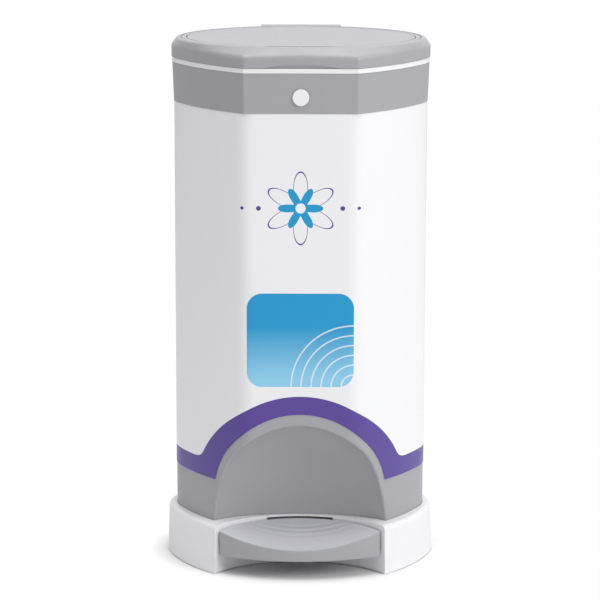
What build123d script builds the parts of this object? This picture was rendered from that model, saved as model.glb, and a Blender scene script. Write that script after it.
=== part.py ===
from build123d import *
import os
from math import asin, atan2, cos, degrees, hypot, radians, sin, sqrt

# A step-on litter disposal pail, in millimetres: +Z up, front towards -Y, feet on z = 0.

# --- plan of the tub: a flat front and back, bowed flanks and round sides -----------------
HALF_WIDTH = 137.0
HALF_DEPTH = 115.6
FACET_HALF = 59.4
SIDE_RADIUS = 63.5
FLANK_TURN = radians(25.0)
CORNER = 4.0
TUB_CORNER = 26.0

# --- heights ------------------------------------------------------------------------------
SKIRT_BOTTOM = 1.0
SKIRT_TOP = 53.5
BODY_SINK = 6.5
BODY_TOP = 496.5
COLLAR_HEIGHT = 41.7
FLANGE_GAP = 0.3
FLANGE_THICK = 4.9
LID_GAP = 0.4
LID_HEIGHT = 20.2

# --- walls and clearances -----------------------------------------------------------------
WALL = 2.5
SEAT_GAP = 0.3
RUN_GAP = 0.08
OVERCUT = 5.0
THROUGH = 60.0
FLOOR_THICK = 2.5

# --- tub, label and collar (offsets outwards from the plan) ---------------------------------
BODY_OFFSET = -2.5
LABEL_THICK = 0.6
LABEL_BOTTOM = 99.8
ARCH_RADIUS = 91.5
ARCH_Z = 86.5
COLLAR_LOW_OFFSET = -1.5
COLLAR_WALL = 4.5
SHELF_THICK = 2.5
SHELF_INNER = -16.0
SPIGOT_DEPTH = 12.5
SPIGOT_GAP = 0.2

# --- foot recess: half of an egg shape pressed into the tub ---------------------------------
RECESS_HALF = (110.0, 56.0, 145.0)
RECESS_SET_IN = 6.3
RECESS_Z = 20.0
RECESS_EDGE_ROUND = 2.0

# --- base -----------------------------------------------------------------------------------
BASE_FLARE = 7.6
BASE_DRAFT = 1.6
HORN_X = 90.0
HORN_FLANK_TURN = radians(15.0)
HORN_SET_IN = 10.6
SKIRT_WALL = 3.0
SKIRT_ROUND = 5.0
SHELF_BELOW = 3.0
SHELF_INSET = 8.0
RISER_RADIUS = 112.0
RISER_AHEAD = 53.9
SLOT_HALF = 35.5
SLOT_TOP = 51.5
SLOT_BOTTOM = 9.0
SLOT_BACK = -40.0
PLATE_Z = 3.0
PLATE_THICK = 2.5
PLATE_INSET = 3.8
BOSS_RADIUS = 5.0
FRONT_BOSS_SHARE = 0.32
SIDE_BOSS_SHARE = 0.16
BOSS_INSET = 6.0
REAR_BOSS_X = 40.0
REAR_BOSS_SET_IN = 9.6
SIDE_FOOT_SHARE = 0.095
SIDE_FOOT_INSET = 12.3
REAR_FOOT_SHARE = 0.74
REAR_FOOT_INSET = 6.1
FOOT_RADIUS = 9.0

# --- screws ---------------------------------------------------------------------------------
SCREW_RADIUS = 1.6
SCREW_HEAD = 3.2
SCREW_HEAD_THICK = 1.4
SCREW_BOSS = 4.0
BASE_SCREW_LENGTH = 16.0
SMALL_SCREW_LENGTH = 9.0

# --- pedal ----------------------------------------------------------------------------------
PEDAL_PIVOT_Y = -31.0
PEDAL_PIVOT_Z = 18.0
PEDAL_PIN_RADIUS = 3.0
PIN_PROUD = 0.5
PEDAL_GAP = 2.2
PEDAL_HALF = 86.3
PEDAL_REACH = 9.4
PEDAL_BOTTOM = 20.5
PEDAL_REAR_TOP = 50.3
PEDAL_FRONT_TOP = 32.0
PEDAL_DISH_RADIUS = 445.0
PEDAL_CORNER = 2.0
PEDAL_EDGE_ROUND = 0.9
PEDAL_NOTCH_DEPTH = 15.0
PEDAL_SIDE_SHARE = 1.4
LEVER_HALF = 30.0
LEVER_Z = 24.0
LEVER_THICK = 5.0
LEVER_HUB_RADIUS = 7.0
LEVER_TAIL_HALF = 6.0
LEVER_TIP_RADIUS = 4.0
LEVER_TAIL_BOTTOM = 13.0
LEVER_SET_IN = 7.6
HUB_PROUD = 2.0
PEDAL_SCREW_GRIP = 5.0
EAR_THICK = 6.0
EAR_GAP = 2.0
PEDAL_BOSS_X = 20.0
PEDAL_BOSS_SET_IN = (40.6, 20.6)

# --- rear hinge and motion --------------------------------------------------------------------
HINGE_BEHIND = 3.9
HINGE_RISE = 12.8
HINGE_PIN_RADIUS = 2.5
KNUCKLE_RADIUS = 6.0
ROD_LIFT = 23.0
LID_TURN = radians(70.0)
DOOR_TURN = radians(60.0)
PUSH_GAP = 0.45
TIP_RADIUS = 3.0

# --- push rod ---------------------------------------------------------------------------------
ROD_RADIUS = 4.0
ROD_FOOT_RADIUS = 5.5
ROD_NOSE = 1.5
ROD_FOOT_HEIGHT = 6.0
ROD_FOOT_FLOOR = 2.0
ROD_HOLE_RADIUS = 8.5
GUIDE_GAP = 0.3
GUIDE_HALF = 10.0
GUIDE_HEIGHT = 8.0
GUIDE_FRONT = 8.0
LOW_GUIDE_Z = 150.0
HIGH_GUIDE_BELOW = 56.5
SPRING_WIRE = 1.2
SPRING_RADIUS = 6.5
SPRING_TURNS = 11
SPRING_SEAT_Z = 80.0
SPRING_SEAT_THICK = 3.0
SPRING_SEAT_RADIUS = 8.0
CROSSHEAD_HALF = 11.5
CROSSHEAD_FRONT = 2.8
CROSSHEAD_BACK = 5.0
CROSSHEAD_HUB = 5.4
CROSSHEAD_THICK = 6.0
CRANK_SIDE_GAP = 2.8

# --- top unit: flange, funnel, throat and trap door ----------------------------------------------
FLANGE_OFFSET = 0.2
RIM_OUTER = -12.0
RIM_WALL = 2.0
RIM_RISE = 6.5
MOUTH_OFFSET = -36.0
THROAT_HALF = 55.0
THROAT_FRONT_SET_IN = 77.6
THROAT_REAR_SET_IN = 45.6
THROAT_CORNER = 8.0
THROAT_TOP_RISE = 8.5
THROAT_RISE = 4.0
DOOR_PIVOT_RISE = 1.5
DOOR_PIN_RADIUS = 2.0
DOOR_HUB_RADIUS = 4.5
DOOR_THICK = 2.5
DOOR_MARGIN = 3.0
DOOR_HUB_LEFT = -32.0
DOOR_HUB_RIGHT = 16.0
DOOR_LUG_X = 34.0
DOOR_LUG_THICK = 6.0
DOOR_LUG_RADIUS = 5.0
DOOR_LUG_SET_BACK = 6.0
DOOR_LUG_RISE = 28.5
DOOR_SEAL_HEIGHT = 1.5
DOOR_SEAL_WIDTH = 3.5
DOOR_SPRING_RADIUS = 3.6
DOOR_SPRING_TURNS = 8
ROD_NOTCH_HALF = 13.0
ROD_NOTCH_SET_IN = 30.6
ROD_ROOM_SET_IN = 17.6
CRANK_NOTCH_HALF = 8.5
CRANK_ROOM_SET_IN = 21.6
BUTTON_ROOM_HALF = 20.0
BUTTON_ROOM_DEPTH = 17.6
BUTTON_ROOM_RISE = 34.5
UNIT_LUG_X = 28.0
UNIT_LUG_THICK = 6.0
UNIT_LUG_SET_IN = 9.6

# --- lid ------------------------------------------------------------------------------------
LID_OFFSET = 0.8
LID_EDGE_DROP = 7.6
LID_EDGE_ROUND = 6.0
LID_TOP_ROUND = 4.0
LID_CORNER = 8.6
LID_WALL = 2.2
LID_TOP_THICK = 1.6
GROOVE_DEPTH = 2.2
OVAL_SIDE_SET_IN = 9.0
OVAL_FRONT_SET_IN = 11.1
OVAL_END_RADIUS = 88.0
OVAL_LAND = 4.0
TRIM_WIDTH = 5.0
GROOVE_WIDTH = 0.9
PANEL_SET_DOWN = 0.2
FRONT_SLOT_SET_IN = 23.4
FRONT_SLOT_WIDTH = 4.4
REAR_LINE_HALF = 20.0
REAR_LINE_Y = 59.0
REAR_LINE_DEPTH = 0.4
SCOOP_HALF = 40.5
SCOOP_HEIGHT = 3.2
SCOOP_DEPTH = 1.4
INNER_RISE = 1.2
INNER_THICK = 2.0
INNER_GAP = 0.8
INNER_SET_IN = 12.6
INNER_NOTCH_SET_IN = 18.6
LID_BOSSES = ((50.0, 50.0), (50.0, -50.0), (90.0, 0.0))
CRANK_BOSS_X = 10.0
CRANK_BOSS_SET_IN = 23.6
CRANK_PLATE_THICK = 2.5
CRANK_NECK_SET_IN = 9.6
CRANK_HALF = 5.0
CRANK_HUB_HALF = 8.0
HOOD_HALF = 44.0
HOOD_RADIUS = 13.0
HOOD_WALL = 2.5
HOOD_END = radians(112.0)
HOOD_START = radians(38.0)
KNUCKLE_CLEAR = 9.0
LID_LUG_X = 12.0
LID_LUG_THICK = 14.0
LID_LUG_SET_IN = 4.6
KNUCKLE_INSET = 2.0
HOOD_ROOM_SET_IN = 11.6
SEAL_OUTER = -29.0
SEAL_WIDTH = 4.0

# --- rear bracket and carrying handle -------------------------------------------------------------
BRACKET_HALF = 50.0
BRACKET_RISE = 3.5
BRACKET_HEIGHT = 33.0
BRACKET_SCREW_X = 30.0
BRACKET_SCREW_EDGE = 6.0
BRACKET_BEHIND = 4.1
BRACKET_LUG_X = 37.0
BRACKET_LUG_THICK = 6.0
WEB_BEHIND = 1.4
WEB_THICK = 4.0
HANDLE_BEHIND = 5.9
HANDLE_RISE = 15.5
HANDLE_PIN_RADIUS = 2.5
HANDLE_ARM = 6.0
HANDLE_LENGTH = 51.0
HANDLE_GRIP = 10.0
HANDLE_GRIP_DEPTH = 8.0
HANDLE_SIDE_GAP = 1.0
GRIP_ROUND = 3.0
EAR_RADIUS = 5.0

# --- release button --------------------------------------------------------------------------
BUTTON_RISE = 17.1
BUTTON_RADIUS = 8.75
BUTTON_GAP = 0.35
BUTTON_PROUD = 1.0
BUTTON_SLACK = 0.2
BUTTON_DOME = 0.9
BUTTON_FLANGE_RADIUS = 10.4
BUTTON_FLANGE_THICK = 2.0
STEM_RADIUS = 4.0
STEM_SET_IN = 27.6
GUIDE_WALL_SET_IN = 19.1
GUIDE_WALL_THICK = 3.5
BUTTON_GUIDE_HALF = 16.0
BUTTON_GUIDE_WALL = 4.0
BUTTON_GUIDE_RISE = 29.5
BUTTON_SPRING_RADIUS = 6.2
BUTTON_SPRING_WIRE = 0.9
BUTTON_SPRING_TURNS = 5
LATCH_THICK = 3.5
LATCH_GAP = 0.5
LATCH_DROP = 6.0
LATCH_HALF = 8.0
HOOK_HALF = 6.0
HOOK_TIP_SET_IN = 17.1
HOOK_RISE = 33.5
HOOK_THICK = 3.0
CATCH_TIP_SET_IN = 20.1
CATCH_THICK = 2.8
TONGUE_THICK = 2.2

# --- liner -----------------------------------------------------------------------------------
CARRIER_BELOW = 38.5
CARRIER_THICK = 3.0
CARRIER_INNER = -26.0
CASSETTE_OUTER = -20.0
CASSETTE_INNER = -30.0
CASSETTE_HEIGHT = 15.0
CASSETTE_WALL = 2.0
BAG_THICK = 0.8
BAG_BOTTOM = 62.0
BAG_ABOVE_CARRIER = 16.0
BAG_FROM_RECESS = 6.0

# --- worked out from the sizes above ----------------------------------------------------------
SIDE_CX = HALF_WIDTH - SIDE_RADIUS
corner_dx = FACET_HALF - SIDE_CX
corner_along = corner_dx * cos(FLANK_TURN) + HALF_DEPTH * sin(FLANK_TURN)
corner_square = corner_dx**2 + HALF_DEPTH**2
FLANK_RADIUS = (corner_square - 2 * SIDE_RADIUS * corner_along + SIDE_RADIUS**2) / (
    2 * (SIDE_RADIUS - corner_along)
)
FLANK_CX = SIDE_CX - (FLANK_RADIUS - SIDE_RADIUS) * cos(FLANK_TURN)
FLANK_CY = (FLANK_RADIUS - SIDE_RADIUS) * sin(FLANK_TURN)
BODY_BOTTOM = SKIRT_TOP - BODY_SINK
COLLAR_TOP = BODY_TOP + COLLAR_HEIGHT
FLANGE_BOTTOM = COLLAR_TOP + FLANGE_GAP
FLANGE_TOP = FLANGE_BOTTOM + FLANGE_THICK
LID_BOTTOM = FLANGE_TOP + LID_GAP
LID_TOP = LID_BOTTOM + LID_HEIGHT
INNER_Z = LID_BOTTOM + INNER_RISE
RECESS_CENTRE = (0.0, RECESS_SET_IN - HALF_DEPTH, RECESS_Z)
HORN_Y = HALF_DEPTH - HORN_SET_IN
RISER_Y = -HALF_DEPTH - RISER_AHEAD
FLANK_END = asin((HALF_DEPTH + FLANK_CY) / FLANK_RADIUS)
PEDAL_FRONT = HALF_DEPTH + PEDAL_REACH
LEVER_FRONT = HALF_DEPTH - LEVER_SET_IN
PEDAL_BOSSES = [(PEDAL_BOSS_X, set_in - HALF_DEPTH) for set_in in PEDAL_BOSS_SET_IN]
HINGE_Y = HALF_DEPTH + HINGE_BEHIND
HINGE_Z = COLLAR_TOP + HINGE_RISE
HIGH_GUIDE_Z = BODY_TOP - HIGH_GUIDE_BELOW
RIM_BOTTOM = BODY_TOP + RIM_RISE
THROAT_FRONT = THROAT_FRONT_SET_IN - HALF_DEPTH
THROAT_REAR = HALF_DEPTH - THROAT_REAR_SET_IN
THROAT_TOP = BODY_TOP + THROAT_TOP_RISE
THROAT_BOTTOM = BODY_TOP + THROAT_RISE
DOOR_PIVOT_Z = BODY_TOP + DOOR_PIVOT_RISE
DOOR_LUG_TOP = BODY_TOP + DOOR_LUG_RISE
ROD_NOTCH_FRONT = HALF_DEPTH - ROD_NOTCH_SET_IN
ROD_ROOM_FRONT = HALF_DEPTH - ROD_ROOM_SET_IN
CRANK_ROOM_FRONT = HALF_DEPTH - CRANK_ROOM_SET_IN
BUTTON_ROOM_BACK = BUTTON_ROOM_DEPTH - HALF_DEPTH
BUTTON_ROOM_TOP = BODY_TOP + BUTTON_ROOM_RISE
UNIT_LUG_FRONT = HALF_DEPTH - UNIT_LUG_SET_IN
INNER_BACK = HALF_DEPTH - INNER_SET_IN
INNER_NOTCH_FRONT = HALF_DEPTH - INNER_NOTCH_SET_IN
FRONT_SLOT_BACK = FRONT_SLOT_SET_IN - HALF_DEPTH
CRANK_BOSS = (CRANK_BOSS_X, HALF_DEPTH - CRANK_BOSS_SET_IN)
CRANK_NECK_FRONT = HALF_DEPTH - CRANK_NECK_SET_IN
LID_LUG_FRONT = HALF_DEPTH - LID_LUG_SET_IN
HOOD_ROOM_FRONT = HALF_DEPTH - HOOD_ROOM_SET_IN
BRACKET_BOTTOM = BODY_TOP + BRACKET_RISE
BRACKET_TOP = BRACKET_BOTTOM + BRACKET_HEIGHT
BRACKET_BACK = HALF_DEPTH + BRACKET_BEHIND
WEB_FRONT = HALF_DEPTH + WEB_BEHIND
WEB_BACK = WEB_FRONT + WEB_THICK
HANDLE_Y = HALF_DEPTH + HANDLE_BEHIND
HANDLE_Z = BODY_TOP + HANDLE_RISE
BUTTON_Z = BODY_TOP + BUTTON_RISE
STEM_END = STEM_SET_IN - HALF_DEPTH
GUIDE_WALL_FRONT = GUIDE_WALL_SET_IN - HALF_DEPTH
GUIDE_WALL_BACK = GUIDE_WALL_FRONT + GUIDE_WALL_THICK
BUTTON_GUIDE_TOP = BODY_TOP + BUTTON_GUIDE_RISE
LATCH_BACK = GUIDE_WALL_BACK + LATCH_GAP + LATCH_THICK
HOOK_TIP = HOOK_TIP_SET_IN - HALF_DEPTH
HOOK_Z = BODY_TOP + HOOK_RISE
CATCH_TIP = CATCH_TIP_SET_IN - HALF_DEPTH
CARRIER_Z = BODY_TOP - CARRIER_BELOW
BAG_TOP = CARRIER_Z + BAG_ABOVE_CARRIER
LID_CRANK = ROD_LIFT / (2 * sin(LID_TURN / 2))
DOOR_CRANK = ROD_LIFT / (2 * sin(DOOR_TURN / 2))
ROD_Y = HINGE_Y - LID_CRANK * (1 + cos(LID_TURN / 2)) / 2
DOOR_PIVOT_Y = ROD_Y - DOOR_CRANK * (1 + cos(DOOR_TURN / 2)) / 2
LEVER_ARM = ROD_Y - PEDAL_PIVOT_Y
PEDAL_TURN = asin(ROD_LIFT / LEVER_ARM)
LID_TIP_Y = HINGE_Y - LID_CRANK * cos(LID_TURN / 2)
LID_TIP_Z = HINGE_Z - LID_CRANK * sin(LID_TURN / 2)
DOOR_TIP_Y = DOOR_PIVOT_Y + DOOR_CRANK * cos(DOOR_TURN / 2)
DOOR_TIP_Z = DOOR_PIVOT_Z - DOOR_CRANK * sin(DOOR_TURN / 2)
ROD_TOP = LID_TIP_Z - TIP_RADIUS - PUSH_GAP
CROSSHEAD_TOP = DOOR_TIP_Z - TIP_RADIUS - PUSH_GAP
ROD_BOTTOM = PEDAL_PIVOT_Z + LEVER_TIP_RADIUS + SEAT_GAP
INSIDE_OFFSET = BODY_OFFSET - WALL
SPIGOT_OFFSET = INSIDE_OFFSET - SPIGOT_GAP
PEDAL_OUTER_RADIUS = RISER_RADIUS - PEDAL_GAP
PEDAL_SIDE_Y = -RISER_Y - sqrt(PEDAL_OUTER_RADIUS**2 - PEDAL_HALF**2)
COLLAR_FRONT_INNER = -(HALF_DEPTH - COLLAR_WALL)
DOOR_TOP = THROAT_BOTTOM - DOOR_SEAL_HEIGHT - SEAT_GAP


# --- shapes that several pieces share ---------------------------------------------------------
def plan(offset, corner=CORNER, z=0.0):
    """The tub's outline moved outwards by offset, as a face at height z."""
    flank = FLANK_RADIUS + offset
    side = SIDE_RADIUS + offset
    y = HALF_DEPTH + offset
    x = FLANK_CX + sqrt(flank**2 - (y + FLANK_CY) ** 2)
    middle = (atan2(y + FLANK_CY, x - FLANK_CX) + FLANK_TURN) / 2
    mx = FLANK_CX + flank * cos(middle)
    my = flank * sin(middle) - FLANK_CY
    jx = SIDE_CX + side * cos(FLANK_TURN)
    jy = side * sin(FLANK_TURN)
    edge = HALF_WIDTH + offset
    edges = [
        Line((-x, -y), (x, -y)),
        ThreePointArc((x, -y), (mx, -my), (jx, -jy)),
        ThreePointArc((jx, -jy), (edge, 0), (jx, jy)),
        ThreePointArc((jx, jy), (mx, my), (x, y)),
        Line((x, y), (-x, y)),
        ThreePointArc((-x, y), (-mx, my), (-jx, jy)),
        ThreePointArc((-jx, jy), (-edge, 0), (-jx, -jy)),
        ThreePointArc((-jx, -jy), (-mx, -my), (-x, -y)),
    ]
    face = make_face(edges)
    if corner > 0:
        ends = [v for v in face.vertices() if abs(abs(v.Y) - y) < 0.01]
        face = fillet(ends, corner)
    return Pos(0, 0, z) * face


def prism(offset, z0, z1, corner=CORNER):
    """Upright solid of the outline from z0 to z1."""
    return extrude(plan(offset, corner, z0), z1 - z0)


def ring(outer, inner, z0, z1, corner=CORNER):
    """Band between two offsets of the outline."""
    return prism(outer, z0, z1, corner) - prism(inner, z0, z1, corner)


def block(x0, x1, y0, y1, z0, z1):
    """Box between the given limits."""
    centre = Pos((x0 + x1) / 2, (y0 + y1) / 2, (z0 + z1) / 2)
    return centre * Box(x1 - x0, y1 - y0, z1 - z0)


def post(x, y, z0, z1, radius):
    """Upright cylinder."""
    return Pos(x, y, (z0 + z1) / 2) * Cylinder(radius, z1 - z0)


def axle(x0, x1, y, z, radius):
    """Cylinder along X."""
    return Pos((x0 + x1) / 2, y, z) * Rot(0, 90, 0) * Cylinder(radius, x1 - x0)


def stub(x, y0, y1, z, radius):
    """Cylinder along Y."""
    return Pos(x, (y0 + y1) / 2, z) * Rot(90, 0, 0) * Cylinder(radius, y1 - y0)


def level_edges(shape, z):
    """The edges that lie at height z."""
    boxes = [(e, e.bounding_box()) for e in shape.edges()]
    return [e for e, box in boxes if abs(box.min.Z - z) < 0.01 and abs(box.max.Z - z) < 0.01]


def bar(x0, x1, start, end, width):
    """Straight bar in the YZ plane between two points, as thick as width."""
    dy = end[0] - start[0]
    dz = end[1] - start[1]
    centre = Pos((x0 + x1) / 2, (start[0] + end[0]) / 2, (start[1] + end[1]) / 2)
    return centre * Rot(degrees(atan2(dz, dy)), 0, 0) * Box(x1 - x0, hypot(dy, dz), width)


def both_sides(shape):
    """The shape and its mirror image across X = 0."""
    return shape + mirror(shape, about=Plane.YZ)


def screw_up(x, y, z, length):
    """Screw that is driven upwards, its head's seat at z."""
    head = post(x, y, z - SCREW_HEAD_THICK, z, SCREW_HEAD)
    return head + post(x, y, z, z + length, SCREW_RADIUS)


def coil(radius, wire, turns, length):
    """Helical spring from z = 0, with its least gap printed."""
    pitch = (length - wire) / turns
    path = Helix(pitch, pitch * turns, radius)
    start = Plane(origin=path @ 0, z_dir=path % 0)
    spring = sweep(start * Circle(wire / 2), path=path, is_frenet=True)
    print("spring gap", round(pitch - wire, 2))
    return Pos(0, 0, wire / 2) * spring


def recess(grow=0.0):
    """The egg shape of the foot recess, larger by grow."""
    size = tuple(half + grow for half in RECESS_HALF)
    return Pos(*RECESS_CENTRE) * scale(Sphere(1.0), by=size)


def base_plan(inset, z):
    """The base's outline, which runs forward into two horns beside the pedal."""
    side = SIDE_RADIUS + BASE_FLARE - inset
    flank = FLANK_RADIUS + BASE_FLARE - inset
    tip_x = HORN_X
    tip_y = HORN_Y - inset
    turn = HORN_FLANK_TURN
    along = (tip_x - SIDE_CX) * cos(turn) + tip_y * sin(turn)
    square = (tip_x - SIDE_CX) ** 2 + tip_y**2
    bow = (square - 2 * side * along + side**2) / (2 * (side - along))
    bow_x = SIDE_CX - (bow - side) * cos(turn)
    bow_y = (bow - side) * sin(turn)
    halfway = (atan2(tip_y + bow_y, tip_x - bow_x) + turn) / 2
    bowed = (bow_x + bow * cos(halfway), bow * sin(halfway) - bow_y)
    front = (SIDE_CX + side * cos(turn), side * sin(turn))
    y = HALF_DEPTH + BASE_FLARE - inset
    x = FLANK_CX + sqrt(flank**2 - (y + FLANK_CY) ** 2)
    middle = (atan2(y + FLANK_CY, x - FLANK_CX) + FLANK_TURN) / 2
    mx = FLANK_CX + flank * cos(middle)
    my = flank * sin(middle) - FLANK_CY
    rear = (SIDE_CX + side * cos(FLANK_TURN), side * sin(FLANK_TURN))
    edge = SIDE_CX + side
    edges = [
        Line((-tip_x, -tip_y), (tip_x, -tip_y)),
        ThreePointArc((tip_x, -tip_y), (bowed[0], -bowed[1]), (front[0], -front[1])),
        ThreePointArc((front[0], -front[1]), (edge, 0), rear),
        ThreePointArc(rear, (mx, my), (x, y)),
        Line((x, y), (-x, y)),
        ThreePointArc((-x, y), (-mx, my), (-rear[0], rear[1])),
        ThreePointArc((-rear[0], rear[1]), (-edge, 0), (-front[0], -front[1])),
        ThreePointArc((-front[0], -front[1]), (-bowed[0], -bowed[1]), (-tip_x, -tip_y)),
    ]
    return Pos(0, 0, z) * make_face(edges)


def flank_place(share, inset):
    """Point inside the rear flank: share 0 is at its side end and 1 at its back end."""
    turn = FLANK_TURN + share * (FLANK_END - FLANK_TURN)
    reach = FLANK_RADIUS - inset
    return FLANK_CX + reach * cos(turn), reach * sin(turn) - FLANK_CY


def base_boss_places():
    front = flank_place(FRONT_BOSS_SHARE, BOSS_INSET)
    side = flank_place(SIDE_BOSS_SHARE, BOSS_INSET)
    return [(front[0], -front[1]), side, (REAR_BOSS_X, HALF_DEPTH - REAR_BOSS_SET_IN)]


def foot_places():
    side = flank_place(SIDE_FOOT_SHARE, SIDE_FOOT_INSET)
    return [(side[0], -side[1]), flank_place(REAR_FOOT_SHARE, REAR_FOOT_INSET)]


def lid_oval(inset, z):
    """The lid panel's oval outline, moved inwards by inset."""
    x = HALF_WIDTH - OVAL_SIDE_SET_IN - inset
    y = HALF_DEPTH - OVAL_FRONT_SET_IN - inset
    end = OVAL_END_RADIUS - inset
    run = x - end
    long = (run**2 + y**2 - end**2) / (2 * (y - end))
    turn = atan2(long - y, run)
    jx = run + end * cos(turn)
    jy = end * sin(turn)
    edges = [
        ThreePointArc((-jx, -jy), (0, -y), (jx, -jy)),
        ThreePointArc((jx, -jy), (x, 0), (jx, jy)),
        ThreePointArc((jx, jy), (0, y), (-jx, jy)),
        ThreePointArc((-jx, jy), (-x, 0), (-jx, -jy)),
    ]
    return Pos(0, 0, z) * make_face(edges)


def oval_plate(inset, z0, z1):
    """Upright solid of the lid's oval from z0 to z1."""
    return extrude(lid_oval(inset, z0), z1 - z0)


def throat_plan(grow, z):
    """Rounded rectangle of the throat, larger all round by grow."""
    x = THROAT_HALF + grow
    front = THROAT_FRONT - grow
    rear = THROAT_REAR + grow
    r = THROAT_CORNER + grow
    d = r * (1 - sqrt(0.5))
    edges = [
        Line((-x + r, front), (x - r, front)),
        ThreePointArc((x - r, front), (x - d, front + d), (x, front + r)),
        Line((x, front + r), (x, rear - r)),
        ThreePointArc((x, rear - r), (x - d, rear - d), (x - r, rear)),
        Line((x - r, rear), (-x + r, rear)),
        ThreePointArc((-x + r, rear), (-x + d, rear - d), (-x, rear - r)),
        Line((-x, rear - r), (-x, front + r)),
        ThreePointArc((-x, front + r), (-x + d, front + d), (-x + r, front)),
    ]
    return Pos(0, 0, z) * make_face(edges)


def riser(grow=0.0):
    """Upright cylinder of the foot space in front of the base."""
    return post(0, RISER_Y, -OVERCUT, SKIRT_TOP + OVERCUT, RISER_RADIUS + grow)


# --- the base ---------------------------------------------------------------------------------
def make_base_skirt():
    outer = loft([base_plan(0, SKIRT_BOTTOM), base_plan(BASE_DRAFT, SKIRT_TOP)], ruled=True)
    top_edges = [e for e in outer.edges() if e.bounding_box().min.Z > SKIRT_TOP - 0.01]
    outer = fillet(top_edges, SKIRT_ROUND)
    under = BODY_BOTTOM - SHELF_BELOW
    hollow = loft(
        [
            base_plan(SKIRT_WALL, SKIRT_BOTTOM - 1),
            base_plan(SKIRT_WALL + BASE_DRAFT, under),
        ],
        ruled=True,
    )
    hollow = hollow - riser(SKIRT_WALL)
    pocket = prism(BODY_OFFSET + SEAT_GAP, BODY_BOTTOM, SKIRT_TOP + OVERCUT, TUB_CORNER)
    pocket = pocket - recess(-SEAT_GAP)
    opening = prism(-SHELF_INSET, under - OVERCUT, BODY_BOTTOM) - riser(2 * SKIRT_WALL)
    slot = block(-SLOT_HALF, SLOT_HALF, RISER_Y, SLOT_BACK, SLOT_BOTTOM, SLOT_TOP)
    skirt = outer - riser() - hollow - pocket - opening - slot
    for x, y in base_boss_places():
        boss = post(x, y, PLATE_Z + PLATE_THICK, under + 1, BOSS_RADIUS)
        hole = post(x, y, 0, PLATE_Z + PLATE_THICK + BASE_SCREW_LENGTH, SCREW_RADIUS)
        skirt = skirt + both_sides(boss) - both_sides(hole)
    return skirt


def make_bottom_plate():
    plate = extrude(base_plan(PLATE_INSET, PLATE_Z), PLATE_THICK)
    plate = plate - riser(PLATE_INSET)
    x0 = LEVER_HALF + HUB_PROUD + EAR_GAP
    x1 = x0 + EAR_THICK
    y0 = PEDAL_PIVOT_Y - LEVER_HUB_RADIUS
    y1 = PEDAL_PIVOT_Y + LEVER_HUB_RADIUS
    ear = block(x0, x1, y0, y1, PLATE_Z + PLATE_THICK / 2, PEDAL_PIVOT_Z)
    ear = ear + axle(x0, x1, PEDAL_PIVOT_Y, PEDAL_PIVOT_Z, LEVER_HUB_RADIUS)
    plate = plate + both_sides(ear)
    for x, y in base_boss_places():
        plate = plate - both_sides(post(x, y, 0, PLATE_Z + OVERCUT, SCREW_RADIUS))
    return plate - axle(-THROUGH, THROUGH, PEDAL_PIVOT_Y, PEDAL_PIVOT_Z, PEDAL_PIN_RADIUS)


def make_rubber_feet():
    return [
        post(side * x, y, 0, PLATE_Z, FOOT_RADIUS) for x, y in foot_places() for side in (-1, 1)
    ]


def make_base_screws():
    return [
        screw_up(side * x, y, PLATE_Z, PLATE_THICK + BASE_SCREW_LENGTH)
        for x, y in base_boss_places()
        for side in (-1, 1)
    ]


# --- the tub ----------------------------------------------------------------------------------
def make_body_shell():
    outer = prism(BODY_OFFSET, BODY_BOTTOM, BODY_TOP, TUB_CORNER) - recess()
    rim = [
        e
        for e in outer.edges()
        if e.bounding_box().max.Z > LABEL_BOTTOM
        and e.bounding_box().max.Z < ARCH_Z + ARCH_RADIUS
        and e.center().Y < -PEDAL_SIDE_Y / 2
    ]
    outer = fillet(rim, RECESS_EDGE_ROUND)
    inner = prism(INSIDE_OFFSET, BODY_BOTTOM + FLOOR_THICK, BODY_TOP, TUB_CORNER) - recess(WALL)
    rod_hole = post(0, ROD_Y, BODY_BOTTOM, BODY_BOTTOM + OVERCUT, ROD_HOLE_RADIUS)
    return outer - inner - rod_hole


def make_label_sleeve():
    outer = BODY_OFFSET + LABEL_THICK
    sleeve = ring(outer, BODY_OFFSET, LABEL_BOTTOM, BODY_TOP, TUB_CORNER)
    return sleeve - stub(0, -2 * HALF_DEPTH, 0, ARCH_Z, ARCH_RADIUS)


def rear_notch(z0, z1):
    """Room for the push rod in what hangs on the tub's back wall."""
    back = HALF_DEPTH + INSIDE_OFFSET
    return block(-ROD_NOTCH_HALF, ROD_NOTCH_HALF, ROD_NOTCH_FRONT, back, z0, z1)


def collar_outside():
    low = plan(COLLAR_LOW_OFFSET, CORNER, BODY_TOP)
    return loft([low, plan(0, CORNER, COLLAR_TOP)], ruled=True)


def bracket_screw_places():
    low = BRACKET_BOTTOM + BRACKET_SCREW_EDGE
    high = BRACKET_TOP - BRACKET_SCREW_EDGE
    return [(side * BRACKET_SCREW_X, z) for side in (-1, 1) for z in (low, high)]


def make_collar():
    shelf_top = BODY_TOP + SHELF_THICK
    collar = collar_outside() - prism(-COLLAR_WALL, shelf_top, COLLAR_TOP + 1)
    collar = collar - prism(SHELF_INNER, BODY_TOP - 1, shelf_top + 1)
    low = BODY_TOP - SPIGOT_DEPTH
    spigot = ring(SPIGOT_OFFSET, SPIGOT_OFFSET - WALL, low, BODY_TOP, TUB_CORNER)
    collar = collar + spigot
    notch = rear_notch(BODY_TOP - OVERCUT, shelf_top + OVERCUT)
    bore = stub(0, -HALF_DEPTH - OVERCUT, 0, BUTTON_Z, BUTTON_RADIUS + BUTTON_GAP)
    collar = collar - notch - bore
    for x, z in bracket_screw_places():
        collar = collar - stub(x, 0, HALF_DEPTH + OVERCUT, z, SCREW_RADIUS)
    return collar


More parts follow.
